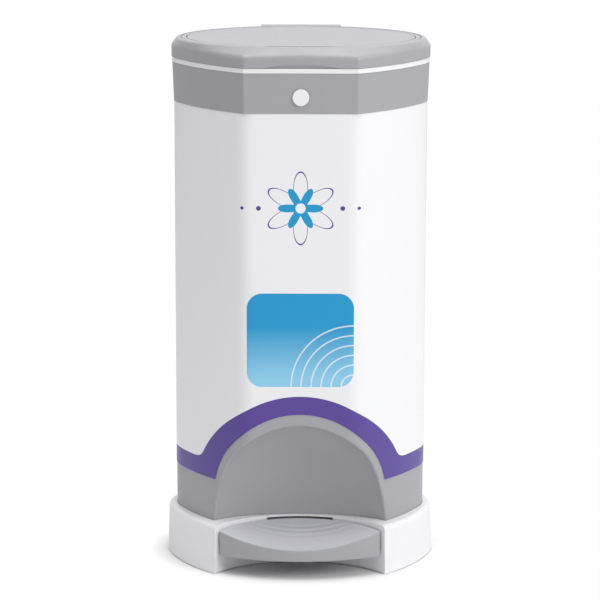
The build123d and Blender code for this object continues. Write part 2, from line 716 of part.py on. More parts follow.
def make_unit_seal():
    low = BODY_TOP + SHELF_THICK
    seal = ring(RIM_OUTER + 1, RIM_OUTER - RIM_WALL - 1, low, RIM_BOTTOM - SEAT_GAP)
    return seal - rear_notch(low - OVERCUT, RIM_BOTTOM)


# --- liner ------------------------------------------------------------------------------------
def make_cassette_carrier():
    top = CARRIER_Z + CARRIER_THICK
    carrier = ring(INSIDE_OFFSET, CARRIER_INNER, CARRIER_Z, top, TUB_CORNER)
    room = block(
        -ROD_NOTCH_HALF,
        ROD_NOTCH_HALF,
        ROD_Y - ROD_NOTCH_HALF,
        HALF_DEPTH + SPIGOT_OFFSET - WALL,
        CARRIER_Z - OVERCUT,
        top + OVERCUT,
    )
    return carrier - room


def make_liner_cassette():
    low = CARRIER_Z + CARRIER_THICK
    high = low + CASSETTE_HEIGHT
    shell = ring(CASSETTE_OUTER, CASSETTE_INNER, low, high)
    channel = ring(
        CASSETTE_OUTER - CASSETTE_WALL,
        CASSETTE_INNER + CASSETTE_WALL,
        low + CASSETTE_WALL,
        high + 1,
    )
    return shell - channel


def make_liner_bag():
    outer_offset = CASSETTE_INNER - SEAT_GAP
    outer = prism(outer_offset, BAG_BOTTOM, BAG_TOP) - recess(BAG_FROM_RECESS)
    inner = prism(outer_offset - BAG_THICK, BAG_BOTTOM + BAG_THICK, BAG_TOP + 1)
    return outer - (inner - recess(BAG_FROM_RECESS + BAG_THICK))


# --- pedal ------------------------------------------------------------------------------------
def pedal_outline(inset, z):
    """Crescent between the riser's curve and the bowed front edge."""
    rear = PEDAL_OUTER_RADIUS - inset
    half = PEDAL_HALF - inset * PEDAL_SIDE_SHARE
    side_y = RISER_Y + sqrt(rear**2 - half**2)
    front_y = -PEDAL_FRONT + inset
    edges = [
        ThreePointArc((-half, side_y), (0, front_y), (half, side_y)),
        ThreePointArc((half, side_y), (0, RISER_Y + rear), (-half, side_y)),
    ]
    face = make_face(edges)
    return Pos(0, 0, z) * fillet(face.vertices(), PEDAL_CORNER)


def pedal_dish(drop):
    """Large lying cylinder whose underside is the tread's dished top."""
    rear_y = RISER_Y + PEDAL_OUTER_RADIUS
    tilt = atan2(PEDAL_REAR_TOP - PEDAL_FRONT_TOP, PEDAL_FRONT + rear_y)
    y = rear_y - PEDAL_DISH_RADIUS * sin(tilt)
    z = PEDAL_REAR_TOP - drop + PEDAL_DISH_RADIUS * cos(tilt)
    return Pos(0, y, z) * Rot(degrees(tilt) - 90, 0, 0) * Cylinder(PEDAL_DISH_RADIUS, 4 * PEDAL_HALF)


def make_pedal_tread():
    height = PEDAL_REAR_TOP + OVERCUT - PEDAL_BOTTOM
    solid = extrude(pedal_outline(0, PEDAL_BOTTOM), height) - pedal_dish(0)
    lips = [e for e in solid.edges() if e.bounding_box().min.Z > PEDAL_BOTTOM + 1]
    front_lip = sorted(lips, key=lambda e: e.center().Y)[0]
    solid = fillet(front_lip, PEDAL_EDGE_ROUND)
    hollow = extrude(pedal_outline(WALL, PEDAL_BOTTOM - 1), height) - pedal_dish(WALL)
    tread = solid - hollow
    lever_top = LEVER_Z + LEVER_THICK
    for x, y in PEDAL_BOSSES:
        boss = both_sides(post(x, y, lever_top, PEDAL_REAR_TOP, SCREW_BOSS))
        tread = tread + (boss & solid)
        hole = post(x, y, PEDAL_BOTTOM, lever_top + PEDAL_SCREW_GRIP + 1, SCREW_RADIUS)
        tread = tread - both_sides(hole)
    wide = LEVER_HALF + HUB_PROUD
    rear_y = RISER_Y + PEDAL_OUTER_RADIUS
    front_y = rear_y - PEDAL_NOTCH_DEPTH
    notch = block(-wide, wide, front_y, rear_y + OVERCUT, 0, lever_top + SEAT_GAP)
    return tread - notch


def make_pedal_lever():
    top = LEVER_Z + LEVER_THICK
    plate = block(-LEVER_HALF, LEVER_HALF, -LEVER_FRONT, PEDAL_PIVOT_Y, LEVER_Z, top)
    neck_y = PEDAL_PIVOT_Y - LEVER_TIP_RADIUS
    neck_back = PEDAL_PIVOT_Y + LEVER_TIP_RADIUS
    plate = plate + block(-LEVER_HALF, LEVER_HALF, neck_y, neck_back, PEDAL_PIVOT_Z, top)
    hub_half = LEVER_HALF + HUB_PROUD
    plate = plate + axle(-hub_half, hub_half, PEDAL_PIVOT_Y, PEDAL_PIVOT_Z, LEVER_HUB_RADIUS)
    tail = block(
        -LEVER_TAIL_HALF,
        LEVER_TAIL_HALF,
        PEDAL_PIVOT_Y,
        ROD_Y,
        LEVER_TAIL_BOTTOM,
        PEDAL_PIVOT_Z + LEVER_TIP_RADIUS,
    )
    tip = axle(-LEVER_TAIL_HALF, LEVER_TAIL_HALF, ROD_Y, PEDAL_PIVOT_Z, LEVER_TIP_RADIUS)
    lever = plate + tail + tip
    bore = PEDAL_PIN_RADIUS + RUN_GAP
    lever = lever - axle(-THROUGH, THROUGH, PEDAL_PIVOT_Y, PEDAL_PIVOT_Z, bore)
    for x, y in PEDAL_BOSSES:
        lever = lever - both_sides(post(x, y, LEVER_Z - OVERCUT, top + OVERCUT, SCREW_RADIUS))
    return lever


def make_pedal_screws():
    return [
        screw_up(side * x, y, LEVER_Z, LEVER_THICK + PEDAL_SCREW_GRIP)
        for x, y in PEDAL_BOSSES
        for side in (-1, 1)
    ]


def make_pedal_pin():
    half = LEVER_HALF + HUB_PROUD + EAR_GAP + EAR_THICK + PIN_PROUD
    return axle(-half, half, PEDAL_PIVOT_Y, PEDAL_PIVOT_Z, PEDAL_PIN_RADIUS)


# --- push rod ---------------------------------------------------------------------------------
def make_push_rod():
    rod = post(0, ROD_Y, ROD_BOTTOM + ROD_FOOT_FLOOR, ROD_TOP, ROD_RADIUS)
    nose = [e for e in rod.edges() if e.bounding_box().min.Z > ROD_TOP - 0.01]
    return chamfer(nose, ROD_NOSE)


def make_rod_foot():
    foot = post(0, ROD_Y, ROD_BOTTOM, ROD_BOTTOM + ROD_FOOT_HEIGHT, ROD_FOOT_RADIUS)
    return foot - make_push_rod()


def make_spring_seat():
    top = SPRING_SEAT_Z + SPRING_SEAT_THICK
    return post(0, ROD_Y, SPRING_SEAT_Z, top, SPRING_SEAT_RADIUS) - make_push_rod()


def make_rod_crosshead():
    low = CROSSHEAD_TOP - CROSSHEAD_THICK
    front = ROD_Y - CROSSHEAD_FRONT
    back = ROD_Y + CROSSHEAD_BACK
    head = block(-CROSSHEAD_HALF, CROSSHEAD_HALF, front, back, low, CROSSHEAD_TOP)
    hub = post(0, ROD_Y, low - CROSSHEAD_THICK, CROSSHEAD_TOP, CROSSHEAD_HUB)
    return head + hub - make_push_rod()


def make_rod_guides():
    back = HALF_DEPTH + INSIDE_OFFSET
    bore = post(0, ROD_Y, 0, ROD_TOP, ROD_RADIUS + GUIDE_GAP)
    guides = []
    for z in (LOW_GUIDE_Z, HIGH_GUIDE_Z):
        guide = block(-GUIDE_HALF, GUIDE_HALF, ROD_Y - GUIDE_FRONT, back, z, z + GUIDE_HEIGHT)
        guides.append(guide - bore)
    return guides


def make_return_spring():
    low = SPRING_SEAT_Z + SPRING_SEAT_THICK
    length = LOW_GUIDE_Z - low - 2 * SEAT_GAP
    spring = coil(SPRING_RADIUS, SPRING_WIRE, SPRING_TURNS, length)
    return Pos(0, ROD_Y, low + SEAT_GAP) * spring


# --- top unit ---------------------------------------------------------------------------------
def funnel_solid(grow, top):
    """Tapered solid from the mouth down to the throat, larger all round by grow."""
    sections = [plan(MOUTH_OFFSET + grow, 0, top), throat_plan(grow, THROAT_TOP - grow / 2)]
    return loft(sections, ruled=True)


def make_top_frame():
    frame = prism(FLANGE_OFFSET, FLANGE_BOTTOM, FLANGE_TOP)
    frame = frame + ring(RIM_OUTER, RIM_OUTER - RIM_WALL, RIM_BOTTOM, FLANGE_BOTTOM)
    frame = frame + funnel_solid(WALL, FLANGE_BOTTOM + FLANGE_THICK / 2)
    frame = frame + extrude(throat_plan(WALL, THROAT_BOTTOM), THROAT_TOP - THROAT_BOTTOM)
    lug_x = DOOR_LUG_X + DOOR_LUG_THICK
    door_lug = block(
        DOOR_LUG_X,
        lug_x,
        THROAT_REAR + DOOR_LUG_SET_BACK,
        DOOR_PIVOT_Y + DOOR_LUG_RADIUS,
        DOOR_PIVOT_Z - DOOR_LUG_RADIUS,
        DOOR_LUG_TOP,
    )
    frame = frame + both_sides(door_lug)
    hinge_x = UNIT_LUG_X + UNIT_LUG_THICK
    hinge_lug = block(UNIT_LUG_X, hinge_x, UNIT_LUG_FRONT, HALF_DEPTH, FLANGE_TOP - 1, HINGE_Z)
    hinge_lug = hinge_lug + block(UNIT_LUG_X, hinge_x, HALF_DEPTH - 1, HINGE_Y, FLANGE_TOP, HINGE_Z)
    hinge_lug = hinge_lug + axle(UNIT_LUG_X, hinge_x, HINGE_Y, HINGE_Z, KNUCKLE_RADIUS)
    frame = frame + both_sides(hinge_lug)
    frame = frame - funnel_solid(0, FLANGE_TOP + SEAT_GAP)
    frame = frame - extrude(throat_plan(0, THROAT_BOTTOM - 1), THROAT_TOP - THROAT_BOTTOM + 2)
    frame = frame - axle(-THROUGH, THROUGH, DOOR_PIVOT_Y, DOOR_PIVOT_Z, DOOR_PIN_RADIUS)
    frame = frame - axle(-THROUGH, THROUGH, HINGE_Y, HINGE_Z, HINGE_PIN_RADIUS + RUN_GAP)
    button_room = block(
        -BUTTON_ROOM_HALF,
        BUTTON_ROOM_HALF,
        -HALF_DEPTH,
        BUTTON_ROOM_BACK,
        RIM_BOTTOM - OVERCUT,
        BUTTON_ROOM_TOP,
    )
    rod_room = block(
        -ROD_NOTCH_HALF, ROD_NOTCH_HALF, ROD_ROOM_FRONT, HALF_DEPTH, RIM_BOTTOM - OVERCUT,
        FLANGE_BOTTOM,
    )
    crank_room = block(
        -CRANK_NOTCH_HALF,
        CRANK_NOTCH_HALF,
        CRANK_ROOM_FRONT,
        HALF_DEPTH + OVERCUT,
        RIM_BOTTOM - OVERCUT,
        FLANGE_TOP + OVERCUT,
    )
    return frame - button_room - rod_room - crank_room


def make_catch_tongue():
    front = -(HALF_DEPTH + RIM_OUTER - RIM_WALL)
    low = HOOK_Z - SEAT_GAP - CATCH_THICK
    strap = block(-LATCH_HALF, LATCH_HALF, front, front + TONGUE_THICK, low, FLANGE_BOTTOM)
    return strap + block(-HOOK_HALF, HOOK_HALF, front, CATCH_TIP, low, low + CATCH_THICK)


def make_door_pin():
    half = DOOR_LUG_X + DOOR_LUG_THICK + PIN_PROUD
    return axle(-half, half, DOOR_PIVOT_Y, DOOR_PIVOT_Z, DOOR_PIN_RADIUS)


def make_door_spring():
    start = DOOR_HUB_RIGHT + 2 * SEAT_GAP
    length = DOOR_LUG_X - start - 2 * SEAT_GAP
    spring = coil(DOOR_SPRING_RADIUS, SPRING_WIRE, DOOR_SPRING_TURNS, length)
    return Pos(start, DOOR_PIVOT_Y, DOOR_PIVOT_Z) * Rot(0, 90, 0) * spring


def make_trap_door():
    low = DOOR_TOP - DOOR_THICK
    door = extrude(throat_plan(DOOR_MARGIN, low), DOOR_THICK)
    door = door + block(
        DOOR_HUB_LEFT, DOOR_HUB_RIGHT, THROAT_REAR, DOOR_PIVOT_Y, low - DOOR_THICK, DOOR_TOP
    )
    hub = axle(DOOR_HUB_LEFT, DOOR_HUB_RIGHT, DOOR_PIVOT_Y, DOOR_PIVOT_Z, DOOR_HUB_RADIUS)
    pivot = (DOOR_PIVOT_Y, DOOR_PIVOT_Z)
    tip = (DOOR_TIP_Y, DOOR_TIP_Z)
    x0 = ROD_RADIUS + CRANK_SIDE_GAP
    x1 = CROSSHEAD_HALF - 1
    crank = bar(x0, x1, pivot, tip, TIP_RADIUS) + axle(x0, x1, *tip, TIP_RADIUS)
    door = door + hub + both_sides(crank)
    return door - axle(-THROUGH, THROUGH, DOOR_PIVOT_Y, DOOR_PIVOT_Z, DOOR_PIN_RADIUS + RUN_GAP)


def make_door_seal():
    outer = extrude(throat_plan(WALL, DOOR_TOP), DOOR_SEAL_HEIGHT)
    inner = throat_plan(WALL - DOOR_SEAL_WIDTH, DOOR_TOP - OVERCUT)
    return outer - extrude(inner, DOOR_SEAL_HEIGHT + 2 * OVERCUT)


# --- lid --------------------------------------------------------------------------------------
def lid_boss_places():
    return [(side * x, y) for x, y in LID_BOSSES for side in (-1, 1)]


def crank_boss_places():
    return [(side * CRANK_BOSS[0], CRANK_BOSS[1]) for side in (-1, 1)]


def hood():
    """Raised cover over the hinge at the back of the lid."""
    outer = axle(-HOOD_HALF, HOOD_HALF, HINGE_Y, HINGE_Z, HOOD_RADIUS)
    inner = axle(-HOOD_HALF - 1, HOOD_HALF + 1, HINGE_Y, HINGE_Z, HOOD_RADIUS - HOOD_WALL)
    reach = 2 * HOOD_RADIUS
    wedge = make_face(
        Polyline(
            (0, 0),
            (-reach * cos(HOOD_START), reach * sin(HOOD_START)),
            (0, reach),
            (-reach * cos(HOOD_END), reach * sin(HOOD_END)),
            close=True,
        )
    )
    sector = extrude(Plane.YZ * wedge, HOOD_HALF, both=True)
    return (outer - inner) & (Pos(0, HINGE_Y, HINGE_Z) * sector)


def make_lid_shell():
    inside = LID_OFFSET - LID_WALL
    cavity_top = LID_TOP - GROOVE_DEPTH - LID_TOP_THICK
    edge = LID_TOP - LID_EDGE_DROP
    low_edge = edge - LID_TOP_THICK
    lid = prism(LID_OFFSET, LID_BOTTOM, edge, LID_CORNER)
    lid = lid + loft([plan(LID_OFFSET, LID_CORNER, edge), lid_oval(-OVAL_LAND, LID_TOP)], ruled=True)
    lid = fillet(level_edges(lid, edge), LID_EDGE_ROUND)
    lid = fillet(level_edges(lid, LID_TOP), LID_TOP_ROUND)
    cavity = prism(inside, LID_BOTTOM - 1, low_edge, LID_CORNER)
    slope = [plan(inside, LID_CORNER, low_edge), lid_oval(LID_WALL, cavity_top)]
    cavity = cavity + loft(slope, ruled=True)
    lid = lid - cavity - oval_plate(0, LID_TOP - GROOVE_DEPTH, LID_TOP + 1)
    wide = HOOD_HALF + 0.5
    room_back = HINGE_Y + HOOD_RADIUS
    lid = lid - block(-wide, wide, HOOD_ROOM_FRONT, room_back, LID_BOTTOM - 1, HINGE_Z)
    lid = lid - axle(-wide, wide, HINGE_Y, HINGE_Z, KNUCKLE_CLEAR)
    lug_x = LID_LUG_X + LID_LUG_THICK
    lug = axle(LID_LUG_X, lug_x, HINGE_Y, HINGE_Z, KNUCKLE_RADIUS)
    lug_back = HINGE_Y + KNUCKLE_RADIUS - KNUCKLE_INSET
    hood_inside = HINGE_Z + HOOD_RADIUS - HOOD_WALL
    lug = lug + block(LID_LUG_X, lug_x, LID_LUG_FRONT, lug_back, HINGE_Z, hood_inside - 0.5)
    lid = lid + hood() + both_sides(lug)
    for x, y in lid_boss_places():
        lid = lid + post(x, y, INNER_Z + INNER_THICK, cavity_top + 1, SCREW_BOSS)
    for x, y in crank_boss_places():
        low = INNER_Z + INNER_THICK + CRANK_PLATE_THICK
        lid = lid + post(x, y, low, cavity_top + 1, SCREW_BOSS)
    for x, y in lid_boss_places() + crank_boss_places():
        lid = lid - post(x, y, INNER_Z, INNER_Z + INNER_THICK + SMALL_SCREW_LENGTH, SCREW_RADIUS)
    scoop_radius = (SCOOP_HALF**2 + SCOOP_HEIGHT**2) / (2 * SCOOP_HEIGHT)
    scoop_z = LID_BOTTOM + SCOOP_HEIGHT - scoop_radius
    scoop_back = SCOOP_DEPTH - HALF_DEPTH - LID_OFFSET
    lid = lid - stub(0, -HALF_DEPTH - OVERCUT, scoop_back, scoop_z, scoop_radius)
    return lid - axle(-THROUGH, THROUGH, HINGE_Y, HINGE_Z, HINGE_PIN_RADIUS + RUN_GAP)


def in_front_of(y):
    """All of the lid's top that lies in front of the line at y."""
    return block(-HALF_WIDTH, HALF_WIDTH, -HALF_DEPTH, y, LID_TOP - OVERCUT, LID_TOP + OVERCUT)


def make_lid_trim():
    low = LID_TOP - GROOVE_DEPTH
    top = LID_TOP - PANEL_SET_DOWN
    hole = oval_plate(GROOVE_WIDTH + TRIM_WIDTH, low - 1, top + 1)
    slot_front = FRONT_SLOT_BACK - FRONT_SLOT_WIDTH
    return oval_plate(GROOVE_WIDTH, low, top) - (hole - in_front_of(slot_front))


def make_lid_panel():
    inset = 2 * GROOVE_WIDTH + TRIM_WIDTH
    top = LID_TOP - PANEL_SET_DOWN
    panel = oval_plate(inset, LID_TOP - GROOVE_DEPTH, top) - in_front_of(FRONT_SLOT_BACK)
    y0 = REAR_LINE_Y - GROOVE_WIDTH / 2
    y1 = REAR_LINE_Y + GROOVE_WIDTH / 2
    line = block(-REAR_LINE_HALF, REAR_LINE_HALF, y0, y1, top - REAR_LINE_DEPTH, LID_TOP)
    return panel - line


def make_lid_inner():
    plate = prism(LID_OFFSET - LID_WALL - INNER_GAP, INNER_Z, INNER_Z + INNER_THICK)
    low = INNER_Z - OVERCUT
    high = INNER_Z + OVERCUT
    wide = HOOD_HALF + INNER_GAP
    plate = plate - block(-wide, wide, INNER_BACK, HALF_DEPTH + OVERCUT, low, high)
    arm_room = CRANK_HALF + INNER_GAP
    plate = plate - block(-arm_room, arm_room, INNER_NOTCH_FRONT, INNER_BACK + 1, low, high)
    for x, y in lid_boss_places() + crank_boss_places():
        plate = plate - post(x, y, low, high, SCREW_RADIUS)
    return plate


def make_lid_seal():
    return ring(SEAL_OUTER, SEAL_OUTER - SEAL_WIDTH, FLANGE_TOP + SEAT_GAP, INNER_Z)


def make_lid_crank():
    low = INNER_Z + INNER_THICK
    high = low + CRANK_PLATE_THICK
    x, y = CRANK_BOSS
    plate_half = x + SCREW_BOSS
    plate = block(-plate_half, plate_half, y - 2 * SCREW_BOSS, CRANK_NECK_FRONT, low, high)
    neck_top = low + 2 * CRANK_PLATE_THICK
    neck = block(-CRANK_HALF, CRANK_HALF, CRANK_NECK_FRONT - 2, HINGE_Y, low, neck_top)
    hub = axle(-CRANK_HUB_HALF, CRANK_HUB_HALF, HINGE_Y, HINGE_Z, KNUCKLE_RADIUS)
    hinge = (HINGE_Y, HINGE_Z)
    tip = (LID_TIP_Y, LID_TIP_Z)
    arm = bar(-CRANK_HALF, CRANK_HALF, hinge, tip, TIP_RADIUS)
    arm = arm + axle(-CRANK_HALF, CRANK_HALF, *tip, TIP_RADIUS)
    crank = plate + neck + hub + arm
    for x, y in crank_boss_places():
        crank = crank - post(x, y, low - 1, high + 1, SCREW_RADIUS)
    return crank - axle(-THROUGH, THROUGH, HINGE_Y, HINGE_Z, HINGE_PIN_RADIUS + RUN_GAP)


def make_lid_screws():
    places = lid_boss_places() + crank_boss_places()
    length = INNER_THICK + SMALL_SCREW_LENGTH - 1
    return [screw_up(x, y, INNER_Z, length) for x, y in places]


# --- rear bracket and handle --------------------------------------------------------------------
def make_hinge_bracket():
    front = HALF_DEPTH - OVERCUT
    bracket = block(
        -BRACKET_HALF, BRACKET_HALF, front, BRACKET_BACK, BRACKET_BOTTOM, BRACKET_TOP
    )
    lug_x = BRACKET_LUG_X + BRACKET_LUG_THICK
    web_low = BRACKET_TOP - BRACKET_LUG_THICK
    web = block(BRACKET_LUG_X, lug_x, WEB_FRONT, WEB_BACK, web_low, HINGE_Z)
    web = web + axle(BRACKET_LUG_X, lug_x, HINGE_Y, HINGE_Z, KNUCKLE_RADIUS)
    ear = axle(BRACKET_HALF - EAR_THICK, BRACKET_HALF, HANDLE_Y, HANDLE_Z, EAR_RADIUS)
    ear = ear + block(
        BRACKET_HALF - EAR_THICK,
        BRACKET_HALF,
        BRACKET_BACK - 1,
        HANDLE_Y,
        HANDLE_Z - EAR_RADIUS,
        HANDLE_Z + EAR_RADIUS,
    )
    bracket = bracket + both_sides(web) + both_sides(ear)
    bracket = bracket - collar_outside()
    bracket = bracket - axle(-THROUGH, THROUGH, HINGE_Y, HINGE_Z, HINGE_PIN_RADIUS)
    handle_bore = HANDLE_PIN_RADIUS + RUN_GAP
    bracket = bracket - axle(-THROUGH, THROUGH, HANDLE_Y, HANDLE_Z, handle_bore)
    for x, z in bracket_screw_places():
        bracket = bracket - stub(x, front, BRACKET_BACK + OVERCUT, z, SCREW_RADIUS)
    return bracket


def make_bracket_screws():
    screws = []
    for x, z in bracket_screw_places():
        head = stub(x, BRACKET_BACK, BRACKET_BACK + SCREW_HEAD_THICK, z, SCREW_HEAD)
        shank = stub(x, BRACKET_BACK - SMALL_SCREW_LENGTH, BRACKET_BACK, z, SCREW_RADIUS)
        screws.append(head + shank)
    return screws


def make_hinge_pin():
    half = BRACKET_LUG_X + BRACKET_LUG_THICK + PIN_PROUD
    return axle(-half, half, HINGE_Y, HINGE_Z, HINGE_PIN_RADIUS)


def make_carry_handle():
    x0 = BRACKET_HALF + HANDLE_SIDE_GAP
    x1 = x0 + HANDLE_ARM
    half_arm = HANDLE_ARM / 2
    low = HANDLE_Z - HANDLE_LENGTH
    arm = block(x0, x1, HANDLE_Y - half_arm, HANDLE_Y + half_arm, low, HANDLE_Z)
    arm = arm + axle(x0, x1, HANDLE_Y, HANDLE_Z, half_arm)
    pin_end = BRACKET_HALF - EAR_THICK + PIN_PROUD
    arm = arm + axle(pin_end, x1, HANDLE_Y, HANDLE_Z, HANDLE_PIN_RADIUS)
    half_grip = HANDLE_GRIP_DEPTH / 2
    grip = block(
        -x1,
        x1,
        HANDLE_Y - half_grip,
        HANDLE_Y + half_grip,
        low - HANDLE_GRIP / 2,
        low + HANDLE_GRIP / 2,
    )
    long_edges = grip.edges().filter_by(Axis.X)
    return both_sides(arm) + fillet(long_edges, GRIP_ROUND)


# --- release button ---------------------------------------------------------------------------
def make_push_button():
    face_y = -(HALF_DEPTH + BUTTON_PROUD)
    flange_front = COLLAR_FRONT_INNER + BUTTON_SLACK
    flange_back = flange_front + BUTTON_FLANGE_THICK
    cap = stub(0, face_y, flange_front, BUTTON_Z, BUTTON_RADIUS)
    front_edge = [e for e in cap.edges() if e.center().Y < face_y + 0.01]
    cap = fillet(front_edge, BUTTON_DOME)
    flange = stub(0, flange_front, flange_back, BUTTON_Z, BUTTON_FLANGE_RADIUS)
    return cap + flange + stub(0, flange_back, STEM_END, BUTTON_Z, STEM_RADIUS)


def make_button_guide():
    low = RIM_BOTTOM + BUTTON_SLACK
    half = BUTTON_GUIDE_HALF
    room = half - BUTTON_GUIDE_WALL
    guide = block(-half, half, COLLAR_FRONT_INNER, GUIDE_WALL_BACK, low, BUTTON_GUIDE_TOP)
    guide = guide - block(
        -room, room, COLLAR_FRONT_INNER, GUIDE_WALL_FRONT, low - OVERCUT, BUTTON_GUIDE_TOP + OVERCUT
    )
    return guide - stub(0, -HALF_DEPTH, 0, BUTTON_Z, STEM_RADIUS + RUN_GAP)


def make_button_spring():
    start = COLLAR_FRONT_INNER + BUTTON_SLACK + BUTTON_FLANGE_THICK + SEAT_GAP
    length = GUIDE_WALL_FRONT - start - SEAT_GAP
    spring = coil(BUTTON_SPRING_RADIUS, BUTTON_SPRING_WIRE, BUTTON_SPRING_TURNS, length)
    return Pos(0, start, BUTTON_Z) * Rot(-90, 0, 0) * spring


def make_latch_slide():
    front = GUIDE_WALL_BACK + LATCH_GAP
    low = BUTTON_Z - LATCH_DROP
    high = HOOK_Z + HOOK_THICK
    plate = block(-LATCH_HALF, LATCH_HALF, front, LATCH_BACK, low, high)
    hook = block(-HOOK_HALF, HOOK_HALF, HOOK_TIP, front + 1, HOOK_Z, high)
    return plate + hook - stub(0, -HALF_DEPTH, 0, BUTTON_Z, STEM_RADIUS)


# --- writing the pieces -----------------------------------------------------------------------
PIECES = {
    "base_skirt": make_base_skirt,
    "bottom_plate": make_bottom_plate,
    "rubber_feet": make_rubber_feet,
    "base_screws": make_base_screws,
    "body_shell": make_body_shell,
    "label_sleeve": make_label_sleeve,
    "collar": make_collar,
    "unit_seal": make_unit_seal,
    "cassette_carrier": make_cassette_carrier,
    "liner_cassette": make_liner_cassette,
    "liner_bag": make_liner_bag,
    "pedal_tread": make_pedal_tread,
    "pedal_lever": make_pedal_lever,
    "pedal_screws": make_pedal_screws,
    "pedal_pin": make_pedal_pin,
    "push_rod": make_push_rod,
    "rod_foot": make_rod_foot,
    "spring_seat": make_spring_seat,
    "rod_crosshead": make_rod_crosshead,
    "rod_guides": make_rod_guides,
    "return_spring": make_return_spring,
    "top_frame": make_top_frame,
    "catch_tongue": make_catch_tongue,
    "door_pin": make_door_pin,
    "door_spring": make_door_spring,
    "trap_door": make_trap_door,
    "door_seal": make_door_seal,
    "lid_shell": make_lid_shell,
    "lid_trim": make_lid_trim,
    "lid_panel": make_lid_panel,
    "lid_inner": make_lid_inner,
    "lid_seal": make_lid_seal,
    "lid_crank": make_lid_crank,
    "lid_screws": make_lid_screws,
    "hinge_bracket": make_hinge_bracket,
    "bracket_screws": make_bracket_screws,
    "hinge_pin": make_hinge_pin,
    "carry_handle": make_carry_handle,
    "push_button": make_push_button,
    "button_guide": make_button_guide,
    "button_spring": make_button_spring,
    "latch_slide": make_latch_slide,
}


def main():
    os.makedirs("parts", exist_ok=True)
    for name, make in PIECES.items():
        made = make()
        pieces = made if isinstance(made, list) else [made]
        solids = [solid for piece in pieces for solid in piece.solids()]
        shape = solids[0] if len(solids) == 1 else Compound(children=solids)
        export_step(shape, f"parts/{name}.step")
        print(name, len(solids), round(sum(s.volume for s in solids)))
    print("pedal turn", round(degrees(PEDAL_TURN), 4), "deg, rod lift", ROD_LIFT)
    print("rod y", round(ROD_Y, 3), "door pivot y", round(DOOR_PIVOT_Y, 3))


main()
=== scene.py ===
import math

import bpy
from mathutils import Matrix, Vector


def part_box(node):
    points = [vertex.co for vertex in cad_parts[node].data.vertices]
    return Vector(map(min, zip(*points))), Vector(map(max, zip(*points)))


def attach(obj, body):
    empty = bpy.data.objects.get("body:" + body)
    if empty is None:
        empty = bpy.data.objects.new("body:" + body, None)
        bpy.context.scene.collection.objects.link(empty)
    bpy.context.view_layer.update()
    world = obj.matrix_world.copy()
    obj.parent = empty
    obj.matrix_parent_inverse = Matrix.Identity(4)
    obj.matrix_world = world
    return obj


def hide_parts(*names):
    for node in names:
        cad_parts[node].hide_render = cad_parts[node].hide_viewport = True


bl_info = {
    "name": "Litter disposal pail",
    "version": (1, 0, 0),
    "blender": (4, 5, 0),
    "location": "3D View > Sidebar > Pail",
    "description": "Dresses the pail: moulded plastics, wrap label, metal, rubber, liner film",
    "category": "Object",
}

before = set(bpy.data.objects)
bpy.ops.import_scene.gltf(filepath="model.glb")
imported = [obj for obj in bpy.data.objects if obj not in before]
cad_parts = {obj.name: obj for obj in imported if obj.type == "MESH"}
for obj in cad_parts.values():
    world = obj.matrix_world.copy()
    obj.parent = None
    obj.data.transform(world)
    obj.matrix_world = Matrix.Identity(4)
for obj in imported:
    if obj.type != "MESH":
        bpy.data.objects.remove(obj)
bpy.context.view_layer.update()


def from_screen(red, green, blue):
    """A screen colour of 0 to 255 as the linear colour that the shaders take."""
    shares = (red / 255, green / 255, blue / 255)
    return tuple(s / 12.92 if s < 0.04045 else ((s + 0.055) / 1.055) ** 2.4 for s in shares)


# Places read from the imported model, in metres.
LABEL_LOW, LABEL_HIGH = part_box("label_sleeve")
CASSETTE_LOW, CASSETTE_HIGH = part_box("liner_cassette")
BAG_LOW, BAG_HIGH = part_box("liner_bag")
TREAD_LOW, TREAD_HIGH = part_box("pedal_tread")
TREAD_ARC = 0.1715


# --- settings that a user would change ----------------------------------------------------------
def colour_setting(label, words, screen):
    """A colour property whose default is given as it looks on screen."""
    return bpy.props.FloatVectorProperty(
        name=label, description=words, subtype="COLOR", size=3, min=0.0, max=1.0,
        default=from_screen(*screen),
    )


def length_setting(label, words, metres):
    """A length property in metres."""
    return bpy.props.FloatProperty(
        name=label, description=words, default=metres, subtype="DISTANCE", unit="LENGTH"
    )


class PailPlastics(bpy.types.PropertyGroup):
    grey: colour_setting("Grey", "Tub, collar, lid and pedal", (163, 163, 168))
    white: colour_setting("White", "Base, flange, button and inner parts", (238, 238, 240))
    blue: colour_setting("Cassette blue", "Refill ring in the tub", (96, 150, 186))
    grain: length_setting("Grain", "Size of the moulded grain", 0.0006)
    roughness: bpy.props.FloatProperty(
        name="Roughness", description="Roughness of the grey plastic", default=0.42,
        min=0.0, max=1.0, subtype="FACTOR",
    )


class PailLabel(bpy.types.PropertyGroup):
    ground: colour_setting("Ground", "Paper of the wrap label", (239, 239, 241))
    purple: colour_setting("Purple", "Lower band and flower", (84, 60, 148))
    deep_blue: colour_setting("Deep blue", "Top of the panel", (4, 150, 204))
    pale_blue: colour_setting("Pale blue", "Foot of the panel", (140, 204, 234))
    band_top: length_setting("Band top", "Height of the purple band's upper edge", 0.1195)
    arch_height: length_setting("Arch height", "Height of the arch's centre", 0.0865)
    arch_radius: length_setting("Arch radius", "Outer radius of the purple arch", 0.111)
    arch_blend: length_setting("Arch blend", "Rounding where band and arch meet", 0.011)
    panel_height: length_setting("Panel height", "Height of the panel's centre", 0.258)
    panel_half_width: length_setting("Panel half width", "Half the panel's width", 0.056)
    panel_half_depth: length_setting("Panel half depth", "Half the panel's height", 0.05)
    panel_corner: length_setting("Panel corner", "Radius of the panel's corners", 0.016)
    flower_height: length_setting("Flower height", "Height of the flower's centre", 0.398)
    flower_radius: length_setting("Flower radius", "Length of the petals", 0.038)


